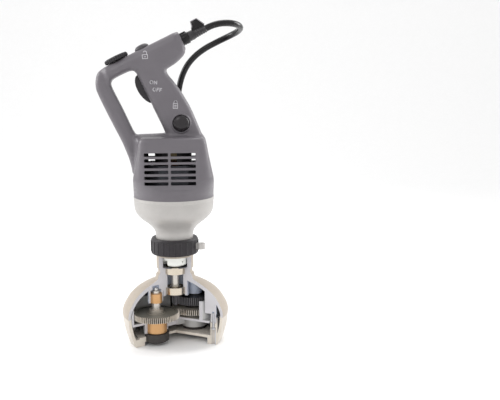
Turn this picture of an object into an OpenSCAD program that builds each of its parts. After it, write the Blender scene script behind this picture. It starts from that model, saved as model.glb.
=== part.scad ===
// Hand-held power mixer: a motor unit with a loop handle, locked on a twin-spindle
// gear head whose casings are cut open at the front to show the gear train.
// Millimetres. Origin: on the input axis, on the flat bottom of the gear head. +Z up,
// -Y is the front, where the casings are open.

/* [Gear head] */
// Largest radius of the dome
dome_r = 84.7; // [84.2:0.1:85.2]
// Thickness of the dome and casing walls
wall = 4.5; // [4:0.1:5]
// Half of the opening angle cut out of the casings, seen from above
cut_half_angle = 60; // [52:1:64]
// Height up to which the neck is cut open
cut_top = 140; // [136:1:143]
// Outer radius of the neck
neck_r = 29.5; // [29:0.1:30]

/* [Gear train] */
// Gear module
gear_module = 1; // [1:1]
// Distance from the input axis to each output spindle
spindle_offset = 35.5; // [35.5:0.5:36]
// Direction of the spindle line, seen from above
spindle_angle = 30; // [28:1:32]
// Teeth of the pinion on the input shaft
pinion_teeth = 10; // [10:1:11]
// Part of the nominal tooth thickness that is kept, for backlash
tooth_fill = 0.9; // [0.86:0.01:0.92]
// Radius of the whisk socket in each spindle
socket_r = 6; // [5.5:0.1:6.5]

/* [Motor unit] */
// Height of the motor housing's lower edge
motor_z = 235; // [234:1:236]
// Radius of the motor housing at its lower edge
housing_r = 62.5; // [62:0.1:63]
// Half thickness of the grip and of the top bar
grip_half = 20; // [19:0.5:21]
// Half thickness of the guard bar
guard_half = 13; // [12.5:0.5:13.5]
// Wall thickness of the housing
shell = 3; // [2.8:0.1:3.2]
// Tilt of the top bar against the horizontal
bar_tilt = 26; // [26:1:26]

/* [Controls] */
// Radius of the speed dial
dial_r = 19; // [18:0.5:19.5]
// Radius of the lock button
lock_r = 12.5; // [12:0.5:13]
// Radius of the safety button
safety_r = 11.5; // [11:0.5:12]

/* [Cord] */
// Diameter of the mains cord
cord_d = 10; // [9.5:0.5:10]

/* [Hidden] */
$fn = 64;
e = 0.01;
run = 0.03; // radial clearance of a running fit
L = spindle_offset * [-cos(spindle_angle), -sin(spindle_angle)];
R = spindle_offset * [cos(spindle_angle), sin(spindle_angle)];
out_teeth = round(2 * spindle_offset / gear_module);
mid_teeth = out_teeth - pinion_teeth;
bearing_z = [77.5, 110.5]; // undersides of the two bearings on the input shaft

grey = [0.48, 0.455, 0.48];
black = [0.16, 0.15, 0.16];
beige = [0.77, 0.73, 0.69];
pale = [0.86, 0.835, 0.81];
alu = [0.72, 0.71, 0.70];
steel = [0.62, 0.61, 0.60];
dark_steel = [0.18, 0.18, 0.18];
bronze = [0.80, 0.60, 0.40];

// ---------- small helpers ----------

// rounds the corners of a closed outline by cutting them, k times
function chaikin(p, k) = k == 0 ? p : chaikin([for (i = [0:len(p) - 1]) let (a = p[i], b = p[(i + 1) % len(p)])
  each [0.78 * a + 0.22 * b, 0.22 * a + 0.78 * b]], k - 1);

// extrudes an outline drawn in X and Z from y0 to y1
module plate_xz(y0, y1) {
  translate([0, y1, 0]) rotate([90, 0, 0]) linear_extrude(y1 - y0) children();
}

// involute function, in degrees
function inv(a) = tan(a) * 180 / PI - a;
// half of a tooth's angle at radius q, for z teeth on pitch radius r
function half_tooth(z, r, q, k) = let (rb = r * cos(20)) k * 90 / z + inv(20) - inv(q > rb ? acos(rb / q) : 0);
function tooth_pts(z, m, k) = let (r = z * m / 2, rb = r * cos(20), rf = r - 1.22 * m, ra = r + 0.95 * m,
    q = max(rb, rf), h0 = half_tooth(z, r, q, k) * (rf < rb ? 0.86 : 1), h1 = half_tooth(z, r, r, k), h2 = half_tooth(z, r, ra, k))
  [[rf, -h0], [r, -h1], [ra, -h2], [ra, h2], [r, h1], [rf, h0]];
function gear_pts(z, m, k) = let (t = tooth_pts(z, m, k))
  [for (i = [0:z - 1]) for (c = t) let (a = i * 360 / z + c[1]) [c[0] * cos(a), c[0] * sin(a)]];
module gear2d(z, phase) { rotate(phase) polygon(gear_pts(z, gear_module, tooth_fill)); }

// the space that is cut out of the casings at the front
module cut_wedge(z0, z1) {
  a = 270 - cut_half_angle;
  b = 270 + cut_half_angle;
  q = 260;
  translate([0, 0, z0]) linear_extrude(z1 - z0)
    polygon([[0, 0], [q * cos(a), q * sin(a)], [q * cos(a), -q], [q * cos(b), -q], [q * cos(b), q * sin(b)]]);
}

// a deep-groove ball bearing's parts; r0 bore, r1 outside, h width, rb ball radius
module ring_outer(r0, r1, h, rb) {
  rp = (r0 + r1) / 2;
  rotate_extrude() difference() {
    translate([rp + 0.75 * rb, 0]) square([r1 - rp - 0.75 * rb, h]);
    translate([rp, h / 2]) circle(rb + 0.3);
  }
}
module ring_inner(r0, r1, h, rb) {
  rp = (r0 + r1) / 2;
  rotate_extrude() difference() {
    translate([r0, 0]) square([rp - 0.75 * rb - r0, h]);
    translate([rp, h / 2]) circle(rb + 0.3);
  }
}
module balls(r0, r1, h, rb, n) {
  rp = (r0 + r1) / 2;
  for (i = [0:n - 1]) rotate([0, 0, i * 360 / n]) translate([rp, 0, h / 2]) sphere(rb);
}

// ---------- gear head ----------

// outer outline of dome and neck, from the seam upwards, as radius and height
dome_out = concat(spline([[dome_r - 0.6, 46], [dome_r, 50], [84.2, 54], [82.8, 59], [80.4, 64], [77, 70], [73, 76], [68, 81.5],
  [62, 86.6], [55, 91.2], [47, 95.6], [40, 99], [35, 101.6], [32, 104.5], [30.8, 107.5], [neck_r + 1, 110],
  [27.6, 113], [27.2, 116], [27.8, 119], [neck_r, 121]], 2), [[neck_r, 150]]);
// inner outline of the dome, from the seam upwards
dome_in = spline([[dome_r - 0.6 - wall, 46], [dome_r - wall, 50], [84 - wall, 54], [82 - wall, 59], [79.2 - wall, 64],
  [75.6 - wall, 69.4], [71.5 - wall, 74.4], [66.6 - wall, 79], [61 - wall, 83], [54 - wall, 87.4], [46 - wall, 91.6],
  [34, 95.4], [26, 98], [21, 100]], 2);
// outer outline of the lower casing, from the floor upwards
low_out = spline([[72.6, 0], [74.2, 2], [75.6, 6], [77.6, 12], [79.6, 18], [81.4, 25], [82.8, 32], [83.8, 39], [dome_r - 0.6, 46]], 2);
low_in = [[dome_r - 0.6 - wall, 46], [79.1, 39], [78, 32], [76.4, 25], [74.6, 18], [72.6, 12]];

// places of the casing screws and of the bottom cover's screws
post_angles = [82, 150, 270 + cut_half_angle];
post_r = 68;
cover_angles = [15, 105, 165];

module spindle_places() { for (c = [L, R]) translate([c[0], c[1], 0]) children(); }

// a solid a little inside the dome's outer face, to trim what hangs under the dome
module dome_core() {
  rotate_extrude() polygon([[0, 34], [78, 34], [80, 60], [77.6, 66], [72, 74], [66, 79.6], [58, 85.6], [50, 90.4], [42, 94.4],
    [34, 98.4], [26, 101.5], [0, 101.5]]);
}

module dome_housing() color(beige) difference() {
  union() {
    rotate_extrude() polygon(concat(dome_out, [[22, 150], [22, 121.5], [17.5, 121.5], [17.5, 110.5], [14.6, 110.5], [14.6, 96]],
      [for (i = [len(dome_in) - 1:-1:0]) dome_in[i]]));
    // hub around the lower bearing and the two upper spindle bosses
    intersection() {
      union() {
        translate([0, 0, 75]) cylinder(h = 30, r = 21.8);
        translate([L[0], L[1], 67.5]) cylinder(h = 40, r = 12.8);
        translate([R[0], R[1], 72.6]) cylinder(h = 40, r = 12.8);
        rotate([0, 0, spindle_angle]) translate([-48, -2.5, 84]) cube([96, 5, 20]);
        // posts for the casing screws, each on a web
        for (i = [0:2]) rotate([0, 0, post_angles[i]]) {
          translate([post_r, 0, 36]) cylinder(h = 50, r = 4.5);
          translate([i == 2 ? 53 : 61, -1.75, i == 2 ? 50 : 58]) cube([20, 3.5, 40]);
        }
      }
      dome_core();
    }
  }
  translate([0, 0, 70]) cylinder(h = 18.5, r = 17.5);
  translate([0, 0, 87]) cylinder(h = 20, r = 14.6);
  spindle_places() {
    translate([0, 0, 60]) cylinder(h = 28, r = 9.6);
    translate([0, 0, 80]) cylinder(h = 15, r = 6.2);
  }
  for (a = post_angles) rotate([0, 0, a]) translate([post_r, 0, 34]) cylinder(h = 20, r = 2);
  // groove over the tongue of the lower casing
  translate([0, 0, 44]) rotate_extrude() translate([79.3, -1]) square([1.6, 5.2]);
  cut_wedge(-5, cut_top);
}

module lower_casing() color(pale) difference() {
  union() {
    rotate_extrude() polygon(concat(low_out, low_in, [[66, 12], [66, 14.2], [62.5, 14.2], [62.5, 10], [57, 10], [57, 0]]));
    // tongue
    rotate_extrude() polygon([[79.4, 40], [80.8, 40], [80.8, 47.6], [79.4, 47.6]]);
    // ledge that carries the gear frame
    for (a = [20:40:180]) rotate([0, 0, a - 10]) translate([66, -4, 8]) cube([9, 8, 26]);
    // columns for the casing screws
    for (a = post_angles) rotate([0, 0, a]) difference() {
      translate([post_r, 0, 4]) cylinder(h = 40, r = 6.8);
      translate([0, 0, 3]) cylinder(h = 42, r = 62.6);
    }
  }
  for (a = post_angles) rotate([0, 0, a]) {
    translate([post_r, 0, -1]) cylinder(h = 60, r = 2.2);
    translate([post_r, 0, -1]) cylinder(h = 29, r = 3.6);
    translate([post_r, 0, 35.4]) cylinder(h = 20, r = 5.2);
  }
  for (a = cover_angles) rotate([0, 0, a]) translate([59.7, 0, 2]) cylinder(h = 20, r = 1.8);
  // the columns end inside the outer face
  difference() {
    translate([0, 0, -1]) cylinder(h = 60, r = 100);
    rotate_extrude() polygon(concat(low_out, [[0, 47], [0, 0]]));
    translate([0, 0, 45.9]) cylinder(h = 5, r = 82);
  }
  cut_wedge(-5, 60);
}

// outline of the two lobes that the frame has around the output gears
module lobes(r) { circle(r); for (c = [L, R]) translate(c) circle(r); }

module gear_frame() color(alu) difference() {
  union() {
    translate([0, 0, 34]) linear_extrude(3.5) { for (c = [L, R]) translate(c) circle(43.5); circle(70); }
    difference() {
      translate([0, 0, 34]) linear_extrude(34) for (c = [L, R]) translate(c) circle(43.5);
      translate([0, 0, 37.5]) linear_extrude(40) for (c = [L, R]) translate(c) circle(39.6);
    }
    spindle_places() translate([0, 0, 19]) cylinder(h = 20.5, r = 21);
    // stiffening web between the bosses
    rotate([0, 0, spindle_angle]) translate([-20, -3, 24]) cube([40, 6, 12]);
  }
  spindle_places() translate([0, 0, 10]) cylinder(h = 40, r = 16.3);
  for (a = post_angles) rotate([0, 0, a]) translate([post_r, 0, 30]) cylinder(h = 10, r = 7.2);
  // keeps the frame clear of the two casings
  difference() {
    translate([0, 0, 8]) cylinder(h = 80, r = 110);
    rotate_extrude() polygon([[0, 7], [71.4, 7], [71.9, 12], [73.9, 18], [75.7, 25], [77.3, 32], [78.3, 39], [78.7, 46],
      [79.1, 50], [78.4, 54], [76.4, 59], [73.6, 64], [70, 69.4], [0, 69.4]]);
  }
  cut_wedge(5, 90);
}

module bottom_cover() color(pale) difference() {
  union() {
    translate([0, 0, 10]) cylinder(h = 4.2, r = 62.3);
    spindle_places() translate([0, 0, 6]) cylinder(h = 8.2, r = 21.3);
  }
  spindle_places() translate([0, 0, 0]) cylinder(h = 20, r = 19.4);
  for (a = cover_angles) rotate([0, 0, a]) translate([59.7, 0, 5]) cylinder(h = 12, r = 1.8);
  cut_wedge(0, 30);
}

module casing_screws() color(steel) {
  for (a = post_angles) rotate([0, 0, a]) translate([post_r, 0, 0]) {
    translate([0, 0, 25.6]) difference() { cylinder(h = 2.4, r = 3.4); translate([0, 0, -1]) cylinder(h = 2.4, r = 1.6, $fn = 6); }
    translate([0, 0, 27.9]) cylinder(h = 24, r = 2);
  }
  for (a = cover_angles) rotate([0, 0, a]) translate([59.7, 0, 0]) {
    translate([0, 0, 14.2]) difference() { cylinder(h = 2.2, r = 3); translate([0, 0, 1]) cylinder(h = 2.2, r = 1.4, $fn = 6); }
    translate([0, 0, 4]) cylinder(h = 10.4, r = 1.8);
  }
}

module input_shaft() color(steel) {
  translate([0, 0, 60]) linear_extrude(16) gear2d(pinion_teeth, spindle_angle);
  difference() {
    union() {
      translate([0, 0, 75.5]) cylinder(h = 2, r = 6.4);
      translate([0, 0, 57.5]) cylinder(h = 3, r = 3.6);
      translate([0, 0, 77]) cylinder(h = 63, r = 5);
      translate([0, 0, 88.5]) cylinder(h = 22, r = 6.2);
      translate([0, 0, 140]) cylinder(h = 1, r = 4.4);
    }
    translate([0, 0, 125]) linear_extrude(40) translate([-1.5, 3.6]) square([3, 4]);
  }
}

module input_coupling() color([0.97, 0.98, 0.95]) difference() {
  union() {
    translate([0, 0, 121.8]) cylinder(h = 4, r = 8.6);
    // claw body that fills the neck under the motor bell's spigot
    rotate_extrude() polygon([[0, 124.4], [16.6, 124.4], [18.6, 125.3], [19.8, 127.2], [19.8, 140.2], [0, 140.2]]);
    translate([0, 0, 140]) cylinder(h = 25.5, r = 16);
  }
  translate([0, 0, 120]) cylinder(h = 21, r = 5);
  // cross slots that take the motor's driver
  translate([0, 0, 150]) linear_extrude(20) { square([22.4, 7.4], center = true); square([7.4, 22.4], center = true); }
  translate([0, 0, 141]) cylinder(h = 10, r = 5.4);
  // two notches in the claw body's rim
  for (a = [26, 206]) rotate([0, 0, a]) translate([11, -9, 120]) cube([12, 18, 13.4]);
  // small lock-screw hole
  translate([0, 0, 131.6]) rotate([0, 90, -53]) translate([0, 0, 4]) cylinder(h = 20, r = 1.4);
}

module head_bearing_outer_rings() color(steel) for (z = bearing_z) translate([0, 0, z]) ring_outer(5, 17.5, 11, 3.2);
module head_bearing_inner_rings() color(steel) for (z = bearing_z) translate([0, 0, z]) ring_inner(5, 17.5, 11, 3.2);
module head_bearing_balls() color(steel) for (z = bearing_z) translate([0, 0, z]) balls(5, 17.5, 11, 3.2, 7);
module bearing_circlip() color(dark_steel) translate([0, 0, 121.5]) linear_extrude(1.3) difference() {
  circle(21.9);
  circle(15.2);
  polygon([[0, 0], [-12, -40], [12, -40]]);
}

module intermediate_gear() color(dark_steel) translate([R[0], R[1], 0]) difference() {
  union() {
    translate([0, 0, 58]) linear_extrude(13) gear2d(mid_teeth, 180 + spindle_angle + 180 / mid_teeth);
    translate([0, 0, 53.2]) cylinder(h = 5, r = 11);
  }
  translate([0, 0, 50]) cylinder(h = 40, r = 7);
}

module output_gear_left() color(steel) translate([L[0], L[1], 0]) difference() {
  union() {
    translate([0, 0, 43]) linear_extrude(9) gear2d(out_teeth, spindle_angle);
    translate([0, 0, 51.9]) cylinder(h = 5, r = 11.6);
  }
  translate([0, 0, 40]) cylinder(h = 40, r = 7);
  // shallow face recess
  translate([0, 0, 51.2]) rotate_extrude() translate([14.5, 0]) square([16, 3]);
}

module output_gear_right() color(steel) translate([R[0], R[1], 0]) difference() {
  union() {
    translate([0, 0, 43]) linear_extrude(9) gear2d(out_teeth, 180 + spindle_angle + 180 / out_teeth);
  }
  translate([0, 0, 40]) cylinder(h = 40, r = 7);
}

module spindle(hub) {
  difference() {
    union() {
      translate([0, 0, 3]) cylinder(h = 39.9, r = 9.5);
      translate([0, 0, 42.8]) cylinder(h = hub - 42.8, r = 7);
      translate([0, 0, hub - 1]) cylinder(h = 87.6 - hub, r = 5.5);
    }
    // whisk socket with its cross slot
    translate([0, 0, 2]) cylinder(h = 26, r = socket_r);
    translate([0, 0, 25]) cylinder(h = 10, r = 3);
    // seat of the thrust ball
    translate([0, 0, 88.6]) sphere(3.5);
  }
}
module spindle_left() color(steel) translate([L[0], L[1], 0]) spindle(67.4);
module spindle_right() color(steel) translate([R[0], R[1], 0]) spindle(71.8);

module upper_bushes() color(bronze) for (c = [[L, 67.8], [R, 72.8]]) translate([c[0][0], c[0][1], c[1]]) difference() {
  cylinder(h = 82.2 - c[1], r = 9.6);
  translate([0, 0, -1]) cylinder(h = 20, r = 5.5 + run);
}
module lower_bushes() color(bronze) spindle_places() translate([0, 0, 20]) difference() {
  cylinder(h = 22.6, r = 16.3);
  translate([0, 0, -1]) cylinder(h = 30, r = 9.5 + run);
}
module shaft_seals() color(black) spindle_places() difference() {
  union() {
    translate([0, 0, 7]) cylinder(h = 12, r = 19.4);
    translate([0, 0, 5]) cylinder(h = 3, r = 17);
  }
  translate([0, 0, 4]) cylinder(h = 30, r = 9.5 + run);
  // space between the two lips
  translate([0, 0, 8.5]) cylinder(h = 8, r = 12.5);
}
module thrust_ball_left() color(steel) translate([L[0], L[1], 88.6]) sphere(3.45);
module thrust_ball_right() color(steel) translate([R[0], R[1], 88.6]) sphere(3.45);

// ---------- between gear head and motor ----------

module motor_bell() color(alu) difference() {
  rotate_extrude() polygon(concat([[21.7, 141], [21.7, 150], [29.5, 150]],
    spline([[29.5, 174], [30.6, 180], [35, 187], [42, 193.5], [50, 199.5], [56.5, 206], [60.5, 213], [62, 221], [housing_r - 0.2, 229]], 3),
    [[housing_r + 0.4, 230.5], [housing_r + 0.4, motor_z], [50, motor_z], [50, 229], [58, 226]],
    spline([[57.4, 220], [56.5, 214], [52.5, 207.5], [47, 202.6], [39, 196.8], [31, 189.6], [26.5, 182], [25.8, 176]], 2),
    [[18.6, 170], [18.6, 141]]));
  for (a = [45:90:315]) rotate([0, 0, a]) translate([54, 0, 226]) cylinder(h = 20, r = 2.2);
}

module lock_collar() color(black) difference() {
  union() {
    rotate_extrude() polygon([[29.9, 144], [36, 144], [37, 145], [37, 167], [35.6, 169], [29.9, 169]]);
    for (a = [0:15:345]) rotate([0, 0, a]) translate([36.4, 0, 147]) cylinder(h = 18, r = 1.6, $fn = 16);
  }
  translate([0, 0, 140]) cylinder(h = 40, r = 29.8);
  rotate([0, 0, -20]) translate([32, -4.2, 152]) cube([10, 8.4, 9]);
}

// thumb lug that is screwed into the collar
module collar_lever() color(alu) rotate([0, 0, -20]) {
  translate([32, -4.2, 152]) cube([8, 8.4, 9]);
  translate([44, 0, 152]) cylinder(h = 9, r = 6.5);
  translate([38, -4.2, 152]) cube([5, 8.4, 9]);
}

module drive_coupling() color(steel) difference() {
  union() {
    translate([0, 0, 152.5]) linear_extrude(11) { square([21.8, 6.8], center = true); square([6.8, 21.8], center = true); }
    translate([0, 0, 163.4]) linear_extrude(3) square([21.8, 6.8], center = true);
    translate([0, 0, 166.4]) cylinder(h = 13, r = 12);
  }
  translate([0, 0, 156]) cylinder(h = 40, r = 5);
}

// ---------- motor ----------

module motor_shaft() color(steel) translate([0, 0, motor_z]) {
  translate([0, 0, -79]) cylinder(h = 158.5, r = 5);
  translate([0, 0, 79.4]) cylinder(h = 9, r = 4);
}

module motor_end_bracket() color(alu) translate([0, 0, motor_z]) difference() {
  union() {
    cylinder(h = 3, r = 57.5);
    translate([0, 0, -12]) cylinder(h = 13, r = 21);
    for (a = [45:90:315]) rotate([0, 0, a]) translate([8, -2.5, -5]) cube([40, 5, 6]);
  }
  translate([0, 0, -10]) cylinder(h = 20, r = 15);
  translate([0, 0, -20]) cylinder(h = 30, r = 12);
  // air outlets
  for (a = [0:90:270]) rotate([0, 0, a]) translate([36, 0, -1]) cylinder(h = 6, r = 10);
  for (a = [45:90:315]) rotate([0, 0, a]) translate([54, 0, -6]) cylinder(h = 20, r = 2.2);
}

module motor_bearing_outer_rings() color(steel) translate([0, 0, motor_z]) {
  translate([0, 0, -10]) ring_outer(5, 15, 9, 2.4);
  translate([0, 0, 79.5]) ring_outer(4, 11, 7, 1.9);
}
module motor_bearing_inner_rings() color(steel) translate([0, 0, motor_z]) {
  translate([0, 0, -10]) ring_inner(5, 15, 9, 2.4);
  translate([0, 0, 79.5]) ring_inner(4, 11, 7, 1.9);
}
module motor_bearing_balls() color(steel) translate([0, 0, motor_z]) {
  translate([0, 0, -10]) balls(5, 15, 9, 2.4, 8);
  translate([0, 0, 79.5]) balls(4, 11, 7, 1.9, 7);
}

module cooling_fan() color([0.14, 0.14, 0.15]) translate([0, 0, motor_z]) difference() {
  union() {
    translate([0, 0, 4.5]) cylinder(h = 1.6, r = 33);
    translate([0, 0, 4.5]) cylinder(h = 9, r = 9);
    for (a = [0:30:330]) rotate([0, 0, a]) translate([12, -0.8, 6]) cube([20, 1.6, 5.5]);
  }
  translate([0, 0, 0]) cylinder(h = 20, r = 5);
}

module stator_core() color([0.30, 0.30, 0.32]) translate([0, 0, motor_z + 17]) difference() {
  linear_extrude(34) intersection() { circle(44); square([88, 76], center = true); }
  translate([0, 0, -1]) cylinder(h = 40, r = 26.2);
  for (x = [-1, 1]) translate([0, 0, -1]) linear_extrude(40)
    polygon([[x * 22, -16], [x * 33, -16], [x * 33, 16], [x * 22, 16]]);
  for (a = [30, 150, 210, 330]) rotate([0, 0, a]) translate([38, 0, -1]) cylinder(h = 40, r = 2.1);
}

module field_coils() color([0.55, 0.28, 0.14]) translate([0, 0, motor_z]) for (x = [-1, 1]) {
  translate([0, 0, 17]) linear_extrude(34) polygon([[x * 27.2, -15.6], [x * 32.6, -15.6], [x * 32.6, 15.6], [x * 27.2, 15.6]]);
}

module armature_core() color([0.35, 0.35, 0.36]) translate([0, 0, motor_z + 17]) difference() {
  cylinder(h = 34, r = 25.4);
  for (a = [0:30:330]) rotate([0, 0, a]) translate([19, -1.5, -1]) cube([10, 3, 40]);
  translate([0, 0, -1]) cylinder(h = 40, r = 5);
}

module armature_windings() color([0.60, 0.30, 0.15]) translate([0, 0, motor_z]) {
  for (s = [0, 1]) translate([0, 0, s == 0 ? 14.2 : 51]) rotate_extrude() polygon(s == 0 ?
    [[9.2, 2.8], [23, 2.8], [22, 0.6], [18, 0], [9.2, 0]] : [[9.2, 0], [23, 0], [22.6, 4], [18, 6.6], [9.2, 7]]);
}

module commutator() color([0.72, 0.43, 0.26]) translate([0, 0, motor_z]) difference() {
  union() {
    translate([0, 0, 59]) cylinder(h = 14, r = 13);
    translate([0, 0, 59]) cylinder(h = 2, r = 14.4);
  }
  translate([0, 0, 50]) cylinder(h = 40, r = 5);
  for (a = [0:15:345]) rotate([0, 0, a]) translate([11.6, -0.3, 58]) cube([4, 0.6, 20]);
}

module carbon_brushes() color([0.1, 0.1, 0.1]) for (s = [-1, 1]) translate([-3.5, s > 0 ? 13.4 : -29.1, motor_z + 62]) cube([7, 15.7, 9]);

module brush_holders() color([0.78, 0.62, 0.32]) for (s = [-1, 1]) translate([0, s > 0 ? 16 : -38, motor_z + 62]) difference() {
  translate([-5, 0, -1.5]) cube([10, 22, 12]);
  translate([-3.5, s > 0 ? -1 : 2, 0]) cube([7, 21, 9]);
}

module commutator_bracket() color([0.17, 0.16, 0.17]) translate([0, 0, motor_z]) difference() {
  union() {
    translate([0, 0, 78]) cylinder(h = 9.5, r = 15);
    translate([-8, -46.8, 83]) cube([16, 93.6, 4]);
    for (s = [-1, 1]) translate([-8, s > 0 ? 22 : -30, 72.5]) cube([16, 8, 12]);
    // air guide round the commutator
    difference() {
      translate([0, 0, 54]) cylinder(h = 30, r = 28.6);
      translate([0, 0, 50]) cylinder(h = 40, r = 26.4);
      translate([-5.2, -40, 50]) cube([10.4, 80, 22.5]);
    }
  }
  translate([0, 0, 79.5]) cylinder(h = 7, r = 11);
  translate([0, 0, 70]) cylinder(h = 30, r = 9.2);
}

module motor_screws() color(steel) translate([0, 0, motor_z]) {
  // through the stator into the end bracket
  for (a = [30, 150, 210, 330]) rotate([0, 0, a]) translate([38, 0, 0]) {
    translate([0, 0, 51]) cylinder(h = 3, r = 3.8);
    translate([0, 0, 3]) cylinder(h = 48.5, r = 2);
  }
  // bell to end bracket and housing
  for (a = [45:90:315]) rotate([0, 0, a]) translate([54, 0, 0]) {
    translate([0, 0, 3]) cylinder(h = 2.6, r = 3.4);
    translate([0, 0, -5.5]) cylinder(h = 9, r = 2);
  }
}

// ---------- housing ----------
// The handle's outlines are drawn in X and Z, with Z counted from the housing's lower edge.

// outer outline of guard bar, top bar and grip
handle_out = [[-62, 34], [-65, 48], [-68, 60], [-78, 86], [-88, 106], [-99.6, 130], [-110.6, 154], [-115.4, 166], [-116, 178],
  [-113.2, 190], [-105.6, 196.8], [-84, 208], [-50, 224.6], [-16, 241.2], [4, 251], [10, 251], [15, 240], [21, 226.6], [20, 219],
  [8, 206.8], [-4, 199.4], [-9, 196], [-6, 188], [1.6, 179.6], [14.4, 162], [28, 138.6], [36.6, 118], [44, 100],
  [50, 84], [52, 60], [50, 40]];
// the finger opening
handle_hole = [[-93.4, 172], [-92, 179], [-86, 183.6], [-64, 194.2], [-56, 193.6], [-51, 184], [-32, 144], [-11.2, 100.4],
  [-13, 98.2], [-54, 96], [-59, 98.6], [-76, 137]];

module handle2d() difference() {
  polygon(chaikin(handle_out, 2));
  polygon(chaikin(handle_hole, 2));
}

// what stands beside the guard bar, to thin it
guard_side = [[-140, 20], [-52, 20], [-55, 97], [-63, 112], [-92, 172], [-96, 184], [-108, 210], [-140, 210]];

// vented motor section, round below and squarer above
module motor_box(d) hull() {
  translate([0, 0, d == 0 ? 0 : -1]) cylinder(h = 4, r = housing_r - d, $fn = 96);
  for (x = [-1, 1], y = [-1, 1]) translate([x * 38, y * 31, 28]) cylinder(h = 6, r = 24 - d, $fn = 32);
  for (x = [-39, 36.5], y = [-1, 1]) translate([x, y * 38, 88 - (d == 0 ? 0 : 2)]) cylinder(h = d == 0 ? 6 : 4, r = 12 - d, $fn = 32);
}

module vents() for (rear = [0, 1], s = [-1, 1], i = [0:5])
  translate([(s < 0 ? -43.5 : -4.1) + 3.3 * rear, -80 + 80 * rear, 24.1 + i * 8.62]) cube([s < 0 ? 35.6 : 37.4, 80.01, 4.8]);

module housing_body() {
  motor_box(0);
  difference() {
    plate_xz(-grip_half, grip_half) handle2d();
    for (s = [-1, 1]) translate([0, s > 0 ? guard_half : -guard_half - 20, 0]) plate_xz(0, 20) polygon(guard_side);
  }
  // raised ring around the lock button
  translate([12.7, -grip_half + 1, 114.9]) rotate([90, 0, 0]) cylinder(h = 3, r = 15.4);
}

module housing_space() {
  motor_box(shell);
  difference() {
    plate_xz(-grip_half + shell, grip_half - shell) intersection() {
      offset(delta = -shell) handle2d();
      polygon([[-57, 98], [-57, 300], [60, 300], [60, 60], [-20, 60], [-5, 98]]);
    }
  }
  plate_xz(-guard_half + shell, guard_half - shell) offset(delta = -shell - 1) handle2d();
}

screw_places = [[-106, 181], [-23.5, 228], [4, 213], [-12, 136], [36, 99], [-86, 131], [-63, 70]];
screw_half = [guard_half, grip_half, grip_half, grip_half, grip_half, guard_half, guard_half];

module housing() translate([0, 0, motor_z]) difference() {
  union() {
    difference() {
      housing_body();
      housing_space();
    }
    // screw posts
    for (i = [0:len(screw_places) - 1]) translate([screw_places[i][0], screw_half[i] - 1, screw_places[i][1]])
      rotate([90, 0, 0]) cylinder(h = 2 * screw_half[i] - 2, r = 4.2);
  }
  for (i = [0:len(screw_places) - 1]) translate([screw_places[i][0], 0, screw_places[i][1]]) rotate([-90, 0, 0]) {
    translate([0, 0, -screw_half[i] + shell]) cylinder(h = 2 * screw_half[i], r = 1.8);
    translate([0, 0, screw_half[i] - 2]) cylinder(h = 10, r = 3.4);
  }
  vents();
  // trigger slot
  translate([0, -10.2, 0]) plate_xz(0, 20.4) polygon([[-66, 192], [-66, 141], [-24, 141], [-36, 172], [-42, 190]]);
  // lock button, cord socket, safety button stem, dial shaft
  translate([12.7, -10, 114.9]) rotate([90, 0, 0]) cylinder(h = 20, r = lock_r + 0.4);
  translate([-6, 0, 229.7]) rotate([0, 64, 0]) cylinder(h = 40, r = 9.6);
  translate([-43.9, 0, 225.7]) rotate([0, -bar_tilt, 0]) translate([0, 0, -12]) cylinder(h = 30, r = safety_r + 0.4);
  translate([-82.2, 0, 208.7]) rotate([0, -bar_tilt, 0]) translate([0, 0, -10]) cylinder(h = 30, r = 4.4);
}

module housing_front_half() color(grey) intersection() {
  housing();
  translate([-150, -90, motor_z - 5]) cube([300, 90, 300]);
}
module housing_rear_half() color(grey) intersection() {
  housing();
  translate([-150, 0, motor_z - 5]) cube([300, 90, 300]);
}

module housing_screws() color([0.2, 0.2, 0.2]) translate([0, 0, motor_z]) for (i = [0:len(screw_places) - 1]) {
  q = screw_places[i];
  // sunk in the rear half
  translate([q[0], 0, q[1]]) rotate([-90, 0, 0]) {
    translate([0, 0, -screw_half[i] + shell]) cylinder(h = 2 * screw_half[i] - shell - 1.9, r = 1.8);
    difference() {
      translate([0, 0, screw_half[i] - 2]) cylinder(h = 1.8, r = 3.2);
      translate([0, 0, screw_half[i] - 1.2]) { cube([4, 0.9, 3], center = true); cube([0.9, 4, 3], center = true); }
    }
  }
}

// ---------- controls ----------

module trigger() color(black) translate([0, 0, motor_z]) difference() {
  translate([0, -9.8, 0]) plate_xz(0, 19.6) polygon([[-50.6, 189.6], [-55.6, 184.6], [-56.4, 178], [-55.2, 171], [-52.8, 165],
    [-49.7, 159.4], [-45.2, 153.6], [-39.4, 148.4], [-33.2, 145], [-31.6, 147], [-38, 160], [-43, 171.6], [-45.8, 182], [-46.4, 188]]);
  translate([-49.6, -20, 186]) rotate([-90, 0, 0]) cylinder(h = 40, r = 1.6);
}
module trigger_pin() color(steel) translate([-49.6, -12.5, motor_z + 186]) rotate([-90, 0, 0]) cylinder(h = 25, r = 1.55);

// the switch sits square to the grip's front edge
module at_grip(x, z) translate([x, 0, motor_z + z]) rotate([0, -25.4, 0]) children();
module switch_module() color([0.2, 0.2, 0.22]) at_grip(-24, 168) difference() {
  translate([-8, -10, -13]) cube([17, 20, 28]);
  translate([-12, 0, 0]) rotate([0, 90, 0]) cylinder(h = 14, r = 3.1);
}
module switch_plunger() color([0.85, 0.83, 0.8]) at_grip(-24, 168) translate([-15.6, 0, 0]) rotate([0, 90, 0]) cylinder(h = 11.5, r = 3);

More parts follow.
